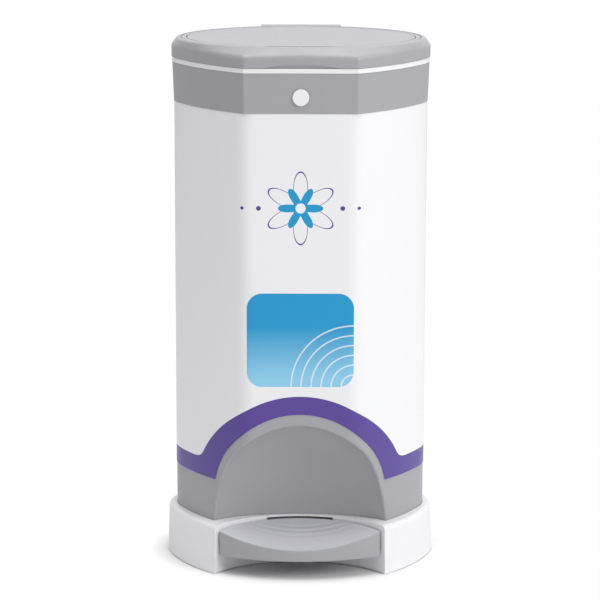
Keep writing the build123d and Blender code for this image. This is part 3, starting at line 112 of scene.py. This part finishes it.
class PailFilm(bpy.types.PropertyGroup):
    tint: colour_setting("Film tint", "Colour of the liner film", (214, 226, 234))
    folds: bpy.props.IntProperty(
        name="Folds", description="Folds round the liner", default=17, min=3, max=60
    )
    fold_depth: length_setting("Fold depth", "Depth of the folds at the gathered end", 0.006)
    thickness: length_setting("Film thickness", "Thickness of the doubled film", 0.0004)


class PailStage(bpy.types.PropertyGroup):
    camera_back: length_setting("Camera distance", "Distance in front of the pail", 2.993)
    camera_up: length_setting("Camera height", "Height above the floor", 0.8939)
    camera_tip: bpy.props.FloatProperty(
        name="Camera tip", description="Downward tip of the camera", default=0.203,
        subtype="ANGLE", unit="ROTATION",
    )
    camera_roll: bpy.props.FloatProperty(
        name="Camera roll", description="Turn of the camera about its view", default=-0.0024,
        subtype="ANGLE", unit="ROTATION",
    )
    camera_lens: bpy.props.FloatProperty(
        name="Lens", description="Focal length in millimetres", default=169.2
    )
    world_light: bpy.props.FloatProperty(
        name="Room light", description="Strength of the light from all round", default=0.46
    )
    key_light: bpy.props.FloatProperty(
        name="Key light", description="Power of the lamp at the front right", default=34.0,
        unit="POWER",
    )
    top_light: bpy.props.FloatProperty(
        name="Top light", description="Power of the lamp overhead", default=40.0, unit="POWER"
    )


# --- shader nodes ---------------------------------------------------------------------------
def add_node(tree, kind, **settings):
    """A new node of that kind with its settings."""
    node = tree.nodes.new(kind)
    for name, value in settings.items():
        setattr(node, name, value)
    return node


def feed(tree, value, socket):
    """Puts a number, a colour or another node's output into a socket."""
    if isinstance(value, bpy.types.NodeSocket):
        tree.links.new(value, socket)
    elif isinstance(value, (tuple, list)) and len(value) == 3 and socket.type == "RGBA":
        socket.default_value = (*value, 1.0)
    else:
        socket.default_value = value


def sums(tree, operation, *values, clamp=False):
    """One Math node fed by numbers or outputs."""
    node = add_node(tree, "ShaderNodeMath", operation=operation, use_clamp=clamp)
    for value, socket in zip(values, node.inputs):
        feed(tree, value, socket)
    return node.outputs[0]


def mixed(tree, share, first, second):
    """A colour between two others."""
    node = add_node(tree, "ShaderNodeMix", data_type="RGBA")
    feed(tree, share, node.inputs["Factor"])
    feed(tree, first, node.inputs["A"])
    feed(tree, second, node.inputs["B"])
    return node.outputs["Result"]


def place(tree):
    """The point being shaded, in metres, as three outputs."""
    coordinates = add_node(tree, "ShaderNodeTexCoord")
    parts = add_node(tree, "ShaderNodeSeparateXYZ")
    tree.links.new(coordinates.outputs["Object"], parts.inputs[0])
    return parts.outputs["X"], parts.outputs["Y"], parts.outputs["Z"]


def clouds(tree, size, detail=2.0, stretch=None):
    """Soft noise whose lumps are about size metres across."""
    coordinates = add_node(tree, "ShaderNodeTexCoord")
    mapping = add_node(tree, "ShaderNodeMapping")
    tree.links.new(coordinates.outputs["Object"], mapping.inputs["Vector"])
    if stretch:
        mapping.inputs["Scale"].default_value = stretch
    noise = add_node(tree, "ShaderNodeTexNoise")
    tree.links.new(mapping.outputs["Vector"], noise.inputs["Vector"])
    noise.inputs["Detail"].default_value = detail
    if isinstance(size, bpy.types.NodeSocket):
        feed(tree, sums(tree, "DIVIDE", 1.0, size), noise.inputs["Scale"])
    else:
        noise.inputs["Scale"].default_value = 1.0 / size
    return noise.outputs["Fac"]


def inside(tree, distance, soft=0.0002):
    """1 where a distance is below zero and 0 above, with a soft edge."""
    share = sums(tree, "DIVIDE", distance, -2.0 * soft)
    return sums(tree, "ADD", share, 0.5, clamp=True)


def new_group(name, inputs, outputs):
    """An empty shader group, with its input and output nodes."""
    tree = bpy.data.node_groups.new(name, "ShaderNodeTree")
    for label, kind, default in inputs:
        socket = tree.interface.new_socket(label, in_out="INPUT", socket_type=kind)
        socket.default_value = default
    for label, kind in outputs:
        tree.interface.new_socket(label, in_out="OUTPUT", socket_type=kind)
    return tree, add_node(tree, "NodeGroupInput"), add_node(tree, "NodeGroupOutput")


def moulded_grain_group():
    """Fine moulded grain with faint cloudy changes of shade and gloss."""
    tree, given, result = new_group(
        "Moulded Grain",
        [
            ("Colour", "NodeSocketColor", (0.4, 0.4, 0.4, 1.0)),
            ("Shade Change", "NodeSocketFloat", 0.03),
            ("Grain Size", "NodeSocketFloat", 0.0006),
            ("Roughness", "NodeSocketFloat", 0.4),
            ("Gloss Change", "NodeSocketFloat", 0.05),
        ],
        [
            ("Colour", "NodeSocketColor"),
            ("Roughness", "NodeSocketFloat"),
            ("Height", "NodeSocketFloat"),
        ],
    )
    broad = clouds(tree, 0.07, 3.0)
    shade = sums(tree, "MULTIPLY", sums(tree, "SUBTRACT", broad, 0.5), given.outputs["Shade Change"])
    tone = add_node(tree, "ShaderNodeHueSaturation")
    feed(tree, given.outputs["Colour"], tone.inputs["Color"])
    feed(tree, sums(tree, "ADD", 1.0, shade), tone.inputs["Value"])
    fine = clouds(tree, given.outputs["Grain Size"], 2.0)
    streak = clouds(tree, 0.02, 4.0, stretch=(1.0, 1.0, 0.35))
    gloss = sums(tree, "MULTIPLY", sums(tree, "SUBTRACT", streak, 0.5), given.outputs["Gloss Change"])
    tree.links.new(tone.outputs["Color"], result.inputs["Colour"])
    feed(tree, sums(tree, "ADD", given.outputs["Roughness"], gloss), result.inputs["Roughness"])
    feed(tree, fine, result.inputs["Height"])
    return tree


def floor_scuffs_group():
    """Mask of short faint scuffs near the floor, where shoes and mops reach."""
    tree, given, result = new_group(
        "Floor Scuffs",
        [("Reach", "NodeSocketFloat", 0.06), ("Amount", "NodeSocketFloat", 0.3)],
        [("Mask", "NodeSocketFloat")],
    )
    _, _, z = place(tree)
    low = sums(tree, "SUBTRACT", 1.0, sums(tree, "DIVIDE", z, given.outputs["Reach"]), clamp=True)
    marks = clouds(tree, 0.012, 5.0, stretch=(0.5, 0.5, 3.0))
    sparse = sums(tree, "MULTIPLY", sums(tree, "SUBTRACT", marks, 0.6), 5.0, clamp=True)
    feed(tree, sums(tree, "MULTIPLY", low, sums(tree, "MULTIPLY", sparse, given.outputs["Amount"])),
         result.inputs["Mask"])
    return tree


def drawn_metal_group():
    """Fine lines along a drawn rod or wire, with cloudy tarnish."""
    tree, given, result = new_group(
        "Drawn Metal",
        [("Colour", "NodeSocketColor", (0.6, 0.6, 0.6, 1.0)), ("Roughness", "NodeSocketFloat", 0.3)],
        [
            ("Colour", "NodeSocketColor"),
            ("Roughness", "NodeSocketFloat"),
            ("Height", "NodeSocketFloat"),
        ],
    )
    lines = clouds(tree, 0.0009, 2.0, stretch=(0.08, 1.0, 0.08))
    tarnish = clouds(tree, 0.012, 4.0)
    tone = add_node(tree, "ShaderNodeHueSaturation")
    feed(tree, given.outputs["Colour"], tone.inputs["Color"])
    feed(tree, sums(tree, "ADD", 0.9, sums(tree, "MULTIPLY", tarnish, 0.2)), tone.inputs["Value"])
    rough = sums(tree, "ADD", given.outputs["Roughness"], sums(tree, "MULTIPLY", lines, 0.12))
    tree.links.new(tone.outputs["Color"], result.inputs["Colour"])
    feed(tree, rough, result.inputs["Roughness"])
    feed(tree, lines, result.inputs["Height"])
    return tree


GROUP_MAKERS = {
    "Moulded Grain": moulded_grain_group,
    "Floor Scuffs": floor_scuffs_group,
    "Drawn Metal": drawn_metal_group,
}


def use_group(tree, name, **values):
    """A node of one of the shared groups, made the first time it is asked for."""
    group = bpy.data.node_groups.get(name) or GROUP_MAKERS[name]()
    node = add_node(tree, "ShaderNodeGroup", node_tree=group)
    for label, value in values.items():
        feed(tree, value, node.inputs[label.replace("_", " ")])
    return node


def new_material(name):
    """An empty material with its Principled BSDF."""
    material = bpy.data.materials.new(name)
    material.use_nodes = True
    tree = material.node_tree
    tree.nodes.clear()
    shader = add_node(tree, "ShaderNodeBsdfPrincipled")
    output = add_node(tree, "ShaderNodeOutputMaterial")
    tree.links.new(shader.outputs["BSDF"], output.inputs["Surface"])
    return material, tree, shader


def bump(tree, shader, height, strength, distance):
    """Feeds a height into the shader's normal."""
    node = add_node(tree, "ShaderNodeBump")
    node.inputs["Strength"].default_value = strength
    node.inputs["Distance"].default_value = distance
    feed(tree, height, node.inputs["Height"])
    tree.links.new(node.outputs["Normal"], shader.inputs["Normal"])


def moulded_plastic(name, colour, roughness, strength=0.12, scuffs=0.0, ridges=None, painted_light_mask=None):
    """Injection-moulded plastic with its grain, and with scuffs, ridges or a masked part painted
    lighter as painted light if asked.
    """
    settings = bpy.context.scene.pail_plastics
    material, tree, shader = new_material(name)
    grain = use_group(
        tree, "Moulded Grain", Colour=tuple(colour), Roughness=roughness,
        Grain_Size=settings.grain,
    )
    surface = grain.outputs["Colour"]
    if painted_light_mask:
        # Painted light: the masked part gets a colour 1.55 times lighter, standing in for light
        # falling on it.
        surface = mixed(tree, painted_light_mask(tree), surface, tuple(1.55 * c for c in colour))
    if scuffs:
        marks = use_group(tree, "Floor Scuffs", Amount=scuffs)
        darker = tuple(0.55 * c for c in colour)
        surface = mixed(tree, marks.outputs["Mask"], surface, darker)
    feed(tree, surface, shader.inputs["Base Color"])
    tree.links.new(grain.outputs["Roughness"], shader.inputs["Roughness"])
    height = grain.outputs["Height"]
    if ridges:
        height = sums(tree, "ADD", sums(tree, "MULTIPLY", height, 0.12), ridges(tree))
    bump(tree, shader, height, strength, 0.0002 if not ridges else 0.0014)
    return material


def dress(material, *nodes):
    """Gives CAD nodes a material through their object's own slots."""
    for name in nodes:
        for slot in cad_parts[name].material_slots:
            slot.material = material


# --- the finishes ------------------------------------------------------------------------------
def tread_reach(tree):
    """Distance from the centre of the tread's front arc."""
    x, y, _ = place(tree)
    run = sums(tree, "SUBTRACT", y, TREAD_LOW.y + TREAD_ARC)
    square = sums(tree, "ADD", sums(tree, "MULTIPLY", x, x), sums(tree, "MULTIPLY", run, run))
    return sums(tree, "SQRT", square)


def tread_top_painted_light(tree):
    """Mask of the tread's dished top, behind its front face, that is painted lighter as painted light
    from above.
    """
    return inside(tree, sums(tree, "SUBTRACT", tread_reach(tree), TREAD_ARC - 0.0012), 0.0005)


def tread_ridges(tree):
    """Low ridges that follow the tread's front edge."""
    away = tread_reach(tree)
    wave = sums(tree, "SINE", sums(tree, "MULTIPLY", away, 2 * math.pi / 0.009))
    near = sums(tree, "DIVIDE", sums(tree, "ABSOLUTE", sums(tree, "SUBTRACT", away, 0.131)), 0.018)
    fade = sums(tree, "SUBTRACT", 1.0, near, clamp=True)
    return sums(tree, "MULTIPLY", wave, sums(tree, "MULTIPLY", fade, 0.5))


class PAIL_OT_plastics(bpy.types.Operator):
    """Gives every moulded plastic part its grained plastic"""

    bl_idname = "pail.plastics"
    bl_label = "Moulded plastics"

    def execute(self, context):
        settings = context.scene.pail_plastics
        grey = tuple(settings.grey)
        white = tuple(settings.white)
        rough = settings.roughness
        tub = moulded_plastic("Tub grey", grey, rough)
        dress(tub, "body_shell", "collar")
        lid = moulded_plastic("Lid grey", grey, rough - 0.04)
        dress(lid, "lid_shell", "lid_trim", "lid_panel")
        # The tread's dished top is painted lighter: a painted highlight for light from above.
        tread = moulded_plastic(
            "Pedal grey", tuple(1.02 * c for c in grey), rough, strength=0.6, scuffs=0.12,
            ridges=tread_ridges, painted_light_mask=tread_top_painted_light,
        )
        dress(tread, "pedal_tread")
        dress(moulded_plastic("Lever grey", tuple(0.8 * c for c in grey), 0.5), "pedal_lever")
        base = moulded_plastic("Base white", white, 0.3, strength=0.06, scuffs=0.08)
        dress(base, "base_skirt", "bottom_plate")
        unit = moulded_plastic("Unit white", white, 0.32, strength=0.06)
        dress(unit, "top_frame", "trap_door", "lid_inner", "push_button", "hinge_bracket",
              "carry_handle")
        works = moulded_plastic("Works white", tuple(0.95 * c for c in white), 0.45)
        dress(works, "cassette_carrier", "rod_guides", "button_guide", "rod_foot",
              "spring_seat", "rod_crosshead", "catch_tongue", "lid_crank", "latch_slide")
        dress(moulded_plastic("Cassette blue", tuple(settings.blue), 0.4), "liner_cassette")
        return {"FINISHED"}


def in_box(tree, x, z, half_x, half_z, corner):
    """Distance to a rounded box centred on x = z = 0, below zero inside."""
    dx = sums(tree, "MAXIMUM", sums(tree, "SUBTRACT", sums(tree, "ABSOLUTE", x), half_x - corner), 0.0)
    dz = sums(tree, "MAXIMUM", sums(tree, "SUBTRACT", sums(tree, "ABSOLUTE", z), half_z - corner), 0.0)
    square = sums(tree, "ADD", sums(tree, "MULTIPLY", dx, dx), sums(tree, "MULTIPLY", dz, dz))
    return sums(tree, "SUBTRACT", sums(tree, "SQRT", square), corner)


def petals(tree, x, z, radius, count, turn, waist=0.42):
    """Distance to a flower outline round x = z = 0, below zero inside."""
    away = sums(tree, "SQRT", sums(tree, "ADD", sums(tree, "MULTIPLY", x, x),
                                   sums(tree, "MULTIPLY", z, z)))
    angle = sums(tree, "ADD", sums(tree, "ARCTAN2", z, x), turn)
    wave = sums(tree, "COSINE", sums(tree, "MULTIPLY", angle, float(count)))
    lobe = sums(tree, "ADD", sums(tree, "MULTIPLY", wave, (1 - waist) / 2), (1 + waist) / 2)
    return sums(tree, "SUBTRACT", away, sums(tree, "MULTIPLY", lobe, radius))


def spot(tree, x, z, across, up, radius):
    """Distance to a round spot, below zero inside."""
    dx = sums(tree, "SUBTRACT", x, across)
    dz = sums(tree, "SUBTRACT", z, up)
    square = sums(tree, "ADD", sums(tree, "MULTIPLY", dx, dx), sums(tree, "MULTIPLY", dz, dz))
    return sums(tree, "SUBTRACT", sums(tree, "SQRT", square), radius)


def printed_colour(tree, settings):
    """Colour of the wrap label: white ground, purple band and arch, flower and blue panel."""
    x, y, z = place(tree)
    front = sums(tree, "LESS_THAN", y, 0.5 * LABEL_LOW.y)
    colour = tuple(settings.ground)

    up = sums(tree, "SUBTRACT", z, settings.panel_height)
    panel = sums(tree, "MULTIPLY", front, inside(tree, in_box(
        tree, x, up, settings.panel_half_width, settings.panel_half_depth, settings.panel_corner)))
    fade = sums(tree, "ADD", sums(tree, "DIVIDE", up, 1.1 * settings.panel_half_depth), 0.75,
                clamp=True)
    blue = mixed(tree, fade, tuple(settings.pale_blue), tuple(settings.deep_blue))
    corner = spot(tree, x, up, settings.panel_half_width, -settings.panel_half_depth, 0.0)
    ripple = sums(tree, "SINE", sums(tree, "MULTIPLY", corner, 2 * math.pi / 0.0105))
    ring = inside(tree, sums(tree, "MULTIPLY", sums(tree, "SUBTRACT", 0.93, ripple), 0.002))
    near = sums(tree, "LESS_THAN", corner, 1.35 * settings.panel_half_depth)
    blue = mixed(tree, sums(tree, "MULTIPLY", ring, near), blue, tuple(settings.ground))
    colour = mixed(tree, panel, colour, blue)

    rise = sums(tree, "SUBTRACT", z, settings.flower_height)
    size = settings.flower_radius
    outer = petals(tree, x, rise, size, 6, math.pi / 6)
    outline = sums(tree, "SUBTRACT", sums(tree, "ABSOLUTE", outer), 0.00085)
    colour = mixed(tree, sums(tree, "MULTIPLY", front, inside(tree, outline)), colour,
                   tuple(settings.purple))
    middle = petals(tree, x, rise, 0.62 * size, 6, 0.0, waist=0.35)
    colour = mixed(tree, sums(tree, "MULTIPLY", front, inside(tree, middle)), colour,
                   tuple(settings.deep_blue))
    heart = spot(tree, x, rise, 0.0, 0.0, 0.14 * size)
    colour = mixed(tree, sums(tree, "MULTIPLY", front, inside(tree, heart)), colour,
                   tuple(settings.ground))
    for across in (-2.0, -1.0, 1.0, 2.0):
        dot = spot(tree, x, rise, across * 0.45 * size + math.copysign(0.7 * size, across), 0.0,
                   0.0032 - 0.0007 * abs(across))
        colour = mixed(tree, sums(tree, "MULTIPLY", front, inside(tree, dot)), colour,
                       tuple(settings.purple))

    band = sums(tree, "SUBTRACT", z, settings.band_top)
    arch = sums(tree, "SUBTRACT", spot(tree, x, z, 0.0, settings.arch_height, 0.0),
                settings.arch_radius)
    arch = sums(tree, "ADD", arch, sums(tree, "MULTIPLY", sums(tree, "SUBTRACT", 1.0, front), 1.0))
    joined = sums(tree, "SMOOTH_MIN", band, arch, settings.arch_blend)
    return mixed(tree, inside(tree, joined), colour, tuple(settings.purple)), x, y


class PAIL_OT_label(bpy.types.Operator):
    """Prints the wrap label on its sleeve"""

    bl_idname = "pail.label"
    bl_label = "Wrap label"

    def execute(self, context):
        settings = context.scene.pail_label
        material, tree, shader = new_material("Wrap label")
        colour, x, y = printed_colour(tree, settings)
        back = sums(tree, "GREATER_THAN", y, 0.0)
        seam_x = sums(tree, "ABSOLUTE", sums(tree, "SUBTRACT", x, 0.035))
        seam = sums(tree, "MULTIPLY", back, inside(tree, sums(tree, "SUBTRACT", seam_x, 0.0003)))
        colour = mixed(tree, sums(tree, "MULTIPLY", seam, 0.35), colour, (0.3, 0.3, 0.32))
        grain = use_group(tree, "Moulded Grain", Colour=colour, Roughness=0.33,
                          Grain_Size=0.0012, Shade_Change=0.015)
        feed(tree, grain.outputs["Colour"], shader.inputs["Base Color"])
        feed(tree, grain.outputs["Roughness"], shader.inputs["Roughness"])
        swell = clouds(tree, 0.05, 1.0)
        height = sums(tree, "ADD", sums(tree, "MULTIPLY", swell, 0.6),
                      sums(tree, "MULTIPLY", grain.outputs["Height"], 0.02))
        bump(tree, shader, sums(tree, "SUBTRACT", height, seam), 0.08, 0.0006)
        dress(material, "label_sleeve")
        return {"FINISHED"}


class PAIL_OT_metal(bpy.types.Operator):
    """Gives pins, rod, springs and screws their drawn or plated metal"""

    bl_idname = "pail.metal"
    bl_label = "Metal parts"

    def execute(self, context):
        kinds = (
            ("Bright pin", (0.62, 0.62, 0.63), 0.22, ("hinge_pin", "pedal_pin", "door_pin")),
            ("Push rod metal", (0.68, 0.68, 0.69), 0.3, ("push_rod",)),
            ("Spring wire", (0.52, 0.52, 0.53), 0.26,
             ("return_spring", "door_spring", "button_spring")),
            ("Zinc screw", (0.6, 0.61, 0.64), 0.34,
             ("base_screws", "pedal_screws", "lid_screws", "bracket_screws")),
        )
        for name, colour, rough, nodes in kinds:
            material, tree, shader = new_material(name)
            metal = use_group(tree, "Drawn Metal", Colour=colour, Roughness=rough)
            tree.links.new(metal.outputs["Colour"], shader.inputs["Base Color"])
            tree.links.new(metal.outputs["Roughness"], shader.inputs["Roughness"])
            shader.inputs["Metallic"].default_value = 1.0
            bump(tree, shader, metal.outputs["Height"], 0.1, 0.0001)
            dress(material, *nodes)
        return {"FINISHED"}


class PAIL_OT_rubber(bpy.types.Operator):
    """Gives the feet and seals their soft rubber"""

    bl_idname = "pail.rubber"
    bl_label = "Rubber parts"

    def execute(self, context):
        for name, colour, nodes in (
            ("Foot rubber", (0.035, 0.035, 0.038), ("rubber_feet",)),
            ("Seal rubber", (0.2, 0.2, 0.21), ("unit_seal", "lid_seal", "door_seal")),
        ):
            material, tree, shader = new_material(name)
            skin = use_group(tree, "Moulded Grain", Colour=colour, Roughness=0.72,
                             Shade_Change=0.25, Grain_Size=0.0009)
            tree.links.new(skin.outputs["Colour"], shader.inputs["Base Color"])
            tree.links.new(skin.outputs["Roughness"], shader.inputs["Roughness"])
            bump(tree, shader, skin.outputs["Height"], 0.3, 0.0002)
            dress(material, *nodes)
        return {"FINISHED"}


# --- the liner -------------------------------------------------------------------------------
def edit_all(piece):
    """Opens a piece for editing with all of it selected."""
    bpy.ops.object.select_all(action="DESELECT")
    piece.select_set(True)
    bpy.context.view_layer.objects.active = piece
    bpy.ops.object.mode_set(mode="EDIT")
    bpy.ops.mesh.select_all(action="SELECT")


def apply_modifiers(piece):
    """Applies the modifiers of a piece, in order."""
    bpy.ops.object.select_all(action="DESELECT")
    piece.select_set(True)
    bpy.context.view_layer.objects.active = piece
    for modifier in list(piece.modifiers):
        bpy.ops.object.modifier_apply(modifier=modifier.name)


def liner_reach(angle, width, depth):
    """Distance to the liner's outline in a direction: an eight-sided rounded plan."""
    power = 3.4
    across = abs(math.cos(angle) / width) ** power
    along = abs(math.sin(angle) / depth) ** power
    return (across + along) ** (-1 / power)


class PAIL_OT_liner(bpy.types.Operator):
    """Hangs the liner film from the refill ring and gathers it into a knot"""

    bl_idname = "pail.liner"
    bl_label = "Liner film"

    def execute(self, context):
        settings = context.scene.pail_film
        top = BAG_HIGH.z
        knot = BAG_LOW.z + 0.10
        tail = knot - 0.035
        sides = 160
        bpy.ops.object.select_all(action="DESELECT")
        bpy.ops.mesh.primitive_cylinder_add(
            vertices=sides, radius=1.0, depth=top - tail, end_fill_type="NOTHING",
            location=(0, 0, (top + tail) / 2),
        )
        film = bpy.context.active_object
        film.name = "liner_film"
        bpy.ops.object.transform_apply(location=True, rotation=True, scale=True)
        rows = 60
        for row in range(1, rows):
            height = tail + (top - tail) * row / rows
            edit_all(film)
            bpy.ops.mesh.bisect(plane_co=(0, 0, height), plane_no=(0, 0, 1))
            bpy.ops.object.mode_set(mode="OBJECT")
        middle_y = (BAG_LOW.y + BAG_HIGH.y) / 2
        half_x = (BAG_HIGH.x - BAG_LOW.x) / 2
        half_y = (BAG_HIGH.y - BAG_LOW.y) / 2
        for vertex in film.data.vertices:
            angle = math.atan2(vertex.co.y, vertex.co.x)
            share = (vertex.co.z - knot) / (top - knot)
            open_share = min(1.0, max(0.0, share / 0.72))
            spread = 0.045 + 0.955 * math.sin(0.5 * math.pi * open_share) ** 0.8
            gather = 1.0 - open_share
            fold = math.sin(settings.folds * angle + 1.3 * math.sin(3 * angle))
            fold += 0.45 * math.sin(2.3 * settings.folds * angle + 9 * share)
            depth = settings.fold_depth * (0.12 + 1.6 * gather * open_share + 0.1 * gather)
            reach = liner_reach(angle, 0.93 * half_x, 0.97 * half_y) * spread
            reach -= depth * (1 + fold)
            reach = max(reach, 0.0035 + 0.3 * max(0.0, knot - vertex.co.z))
            vertex.co.x = reach * math.cos(angle)
            vertex.co.y = middle_y + reach * math.sin(angle)
        subdivide = film.modifiers.new("Soften", "SUBSURF")
        subdivide.levels = 1
        subdivide.render_levels = 1
        film.modifiers.new("Film thickness", "SOLIDIFY").thickness = settings.thickness
        apply_modifiers(film)
        for polygon in film.data.polygons:
            polygon.use_smooth = True
        film.data.materials.append(self.film_material(settings))
        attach(film, "housing")
        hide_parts("liner_bag")
        return {"FINISHED"}

    def film_material(self, settings):
        """Thin, slightly cloudy film with fine creases."""
        material, tree, shader = new_material("Liner film")
        skin = use_group(tree, "Moulded Grain", Colour=tuple(settings.tint), Roughness=0.22,
                         Shade_Change=0.08, Gloss_Change=0.2, Grain_Size=0.004)
        tree.links.new(skin.outputs["Colour"], shader.inputs["Base Color"])
        tree.links.new(skin.outputs["Roughness"], shader.inputs["Roughness"])
        shader.inputs["Alpha"].default_value = 0.86
        creases = clouds(tree, 0.03, 6.0, stretch=(1.6, 1.6, 0.4))
        bump(tree, shader, creases, 0.5, 0.004)
        return material


# --- the stage -------------------------------------------------------------------------------
def soft_lamp(name, power, size, spot_at, aim):
    """A large square lamp that faces a point."""
    bpy.ops.object.light_add(type="AREA", location=spot_at)
    lamp = bpy.context.active_object
    lamp.name = name
    lamp.data.energy = power
    lamp.data.shape = "SQUARE"
    lamp.data.size = size
    away = [a - s for a, s in zip(aim, spot_at)]
    flat = math.hypot(away[0], away[1])
    lamp.rotation_euler = (math.atan2(flat, -away[2]), 0, math.atan2(-away[0], away[1]))
    return lamp


class PAIL_OT_stage(bpy.types.Operator):
    """Sets out the pale floor, the studio light and the camera"""

    bl_idname = "pail.stage"
    bl_label = "Stage"

    def execute(self, context):
        settings = context.scene.pail_stage
        bpy.ops.object.select_all(action="DESELECT")
        bpy.ops.mesh.primitive_plane_add(size=14.0, location=(0, 0, 0))
        floor = bpy.context.active_object
        floor.name = "studio_floor"
        floor.data.materials.append(self.floor_material())
        middle = (0.0, 0.0, 0.25)
        soft_lamp("key_lamp", settings.key_light, 1.4, (2.17, -1.69, 1.7), middle)
        soft_lamp("top_lamp", settings.top_light, 2.2, (0.1, -0.2, 2.6), middle)
        self.light_world(settings)
        bpy.ops.object.camera_add(
            location=(0, -settings.camera_back, settings.camera_up),
            rotation=(math.pi / 2 - settings.camera_tip, settings.camera_roll, 0),
        )
        camera = bpy.context.active_object
        camera.name = "photo_camera"
        camera.data.sensor_width = 36.0
        camera.data.lens = settings.camera_lens
        camera.data.shift_x = -0.0029
        camera.data.clip_end = 50.0
        context.scene.camera = camera
        context.scene.view_settings.view_transform = "Standard"
        return {"FINISHED"}

    def floor_material(self):
        """Pale paper floor that keeps the pail's shadow and burns out to white further off."""
        material, tree, shader = new_material("Studio paper")
        x, y, _ = place(tree)
        across = sums(tree, "DIVIDE", x, 0.15)
        along = sums(tree, "DIVIDE", y, 0.13)
        away = sums(tree, "SQRT", sums(tree, "ADD", sums(tree, "MULTIPLY", across, across),
                                       sums(tree, "MULTIPLY", along, along)))
        far = sums(tree, "DIVIDE", sums(tree, "SUBTRACT", away, 0.95), 0.15, clamp=True)
        paths = add_node(tree, "ShaderNodeLightPath")
        white = sums(tree, "MULTIPLY", far, paths.outputs["Is Camera Ray"])
        cloud = clouds(tree, 0.3, 2.0)
        paper = mixed(tree, cloud, (0.9, 0.9, 0.9), (0.92, 0.92, 0.92))
        feed(tree, mixed(tree, white, paper, (0.0, 0.0, 0.0)), shader.inputs["Base Color"])
        feed(tree, mixed(tree, white, (0.0, 0.0, 0.0), (1.0, 1.0, 1.0)),
             shader.inputs["Emission Color"])
        shader.inputs["Emission Strength"].default_value = 1.0
        rough = sums(tree, "ADD", 0.85, sums(tree, "MULTIPLY", clouds(tree, 0.01, 2.0), 0.1))
        feed(tree, rough, shader.inputs["Roughness"])
        shader.inputs["Specular IOR Level"].default_value = 0.05
        return material

    def light_world(self, settings):
        """Even room light, and white where the camera, gloss or glass sees the background."""
        world = bpy.data.worlds.new("Studio room")
        bpy.context.scene.world = world
        world.use_nodes = True
        tree = world.node_tree
        tree.nodes.clear()
        paths = add_node(tree, "ShaderNodeLightPath")
        seen = sums(tree, "MAXIMUM", paths.outputs["Is Camera Ray"],
                    sums(tree, "MAXIMUM", paths.outputs["Is Glossy Ray"],
                         paths.outputs["Is Transmission Ray"]))
        room = add_node(tree, "ShaderNodeBackground")
        room.inputs["Color"].default_value = (1, 1, 1, 1)
        feed(tree, sums(tree, "ADD", settings.world_light,
                        sums(tree, "MULTIPLY", seen, 1.0 - settings.world_light)),
             room.inputs["Strength"])
        output = add_node(tree, "ShaderNodeOutputWorld")
        tree.links.new(room.outputs["Background"], output.inputs["Surface"])


class PAIL_PT_panel(bpy.types.Panel):
    """Lists the pail's pieces and settings"""

    bl_label = "Pail"
    bl_idname = "PAIL_PT_panel"
    bl_space_type = "VIEW_3D"
    bl_region_type = "UI"
    bl_category = "Pail"

    def draw(self, context):
        layout = self.layout
        for operator in OPERATORS:
            layout.operator(operator.bl_idname)
        for name in SETTINGS:
            group = getattr(context.scene, name)
            box = layout.box()
            for setting in group.bl_rna.properties:
                if setting.identifier not in {"rna_type", "name"}:
                    box.prop(group, setting.identifier)


OPERATORS = (
    PAIL_OT_stage,
    PAIL_OT_plastics,
    PAIL_OT_label,
    PAIL_OT_metal,
    PAIL_OT_rubber,
    PAIL_OT_liner,
)
SETTINGS = {
    "pail_plastics": PailPlastics,
    "pail_label": PailLabel,
    "pail_film": PailFilm,
    "pail_stage": PailStage,
}


def register():
    for item in (*SETTINGS.values(), *OPERATORS, PAIL_PT_panel):
        bpy.utils.register_class(item)
    for name, group in SETTINGS.items():
        setattr(bpy.types.Scene, name, bpy.props.PointerProperty(type=group))


def unregister():
    for name in SETTINGS:
        delattr(bpy.types.Scene, name)
    for item in reversed((*SETTINGS.values(), *OPERATORS, PAIL_PT_panel)):
        bpy.utils.unregister_class(item)


def main():
    register()
    bpy.ops.pail.stage()
    bpy.ops.pail.plastics()
    bpy.ops.pail.label()
    bpy.ops.pail.metal()
    bpy.ops.pail.rubber()
    bpy.ops.pail.liner()
    bpy.context.view_layer.update()


if __name__ == "__main__":
    main()
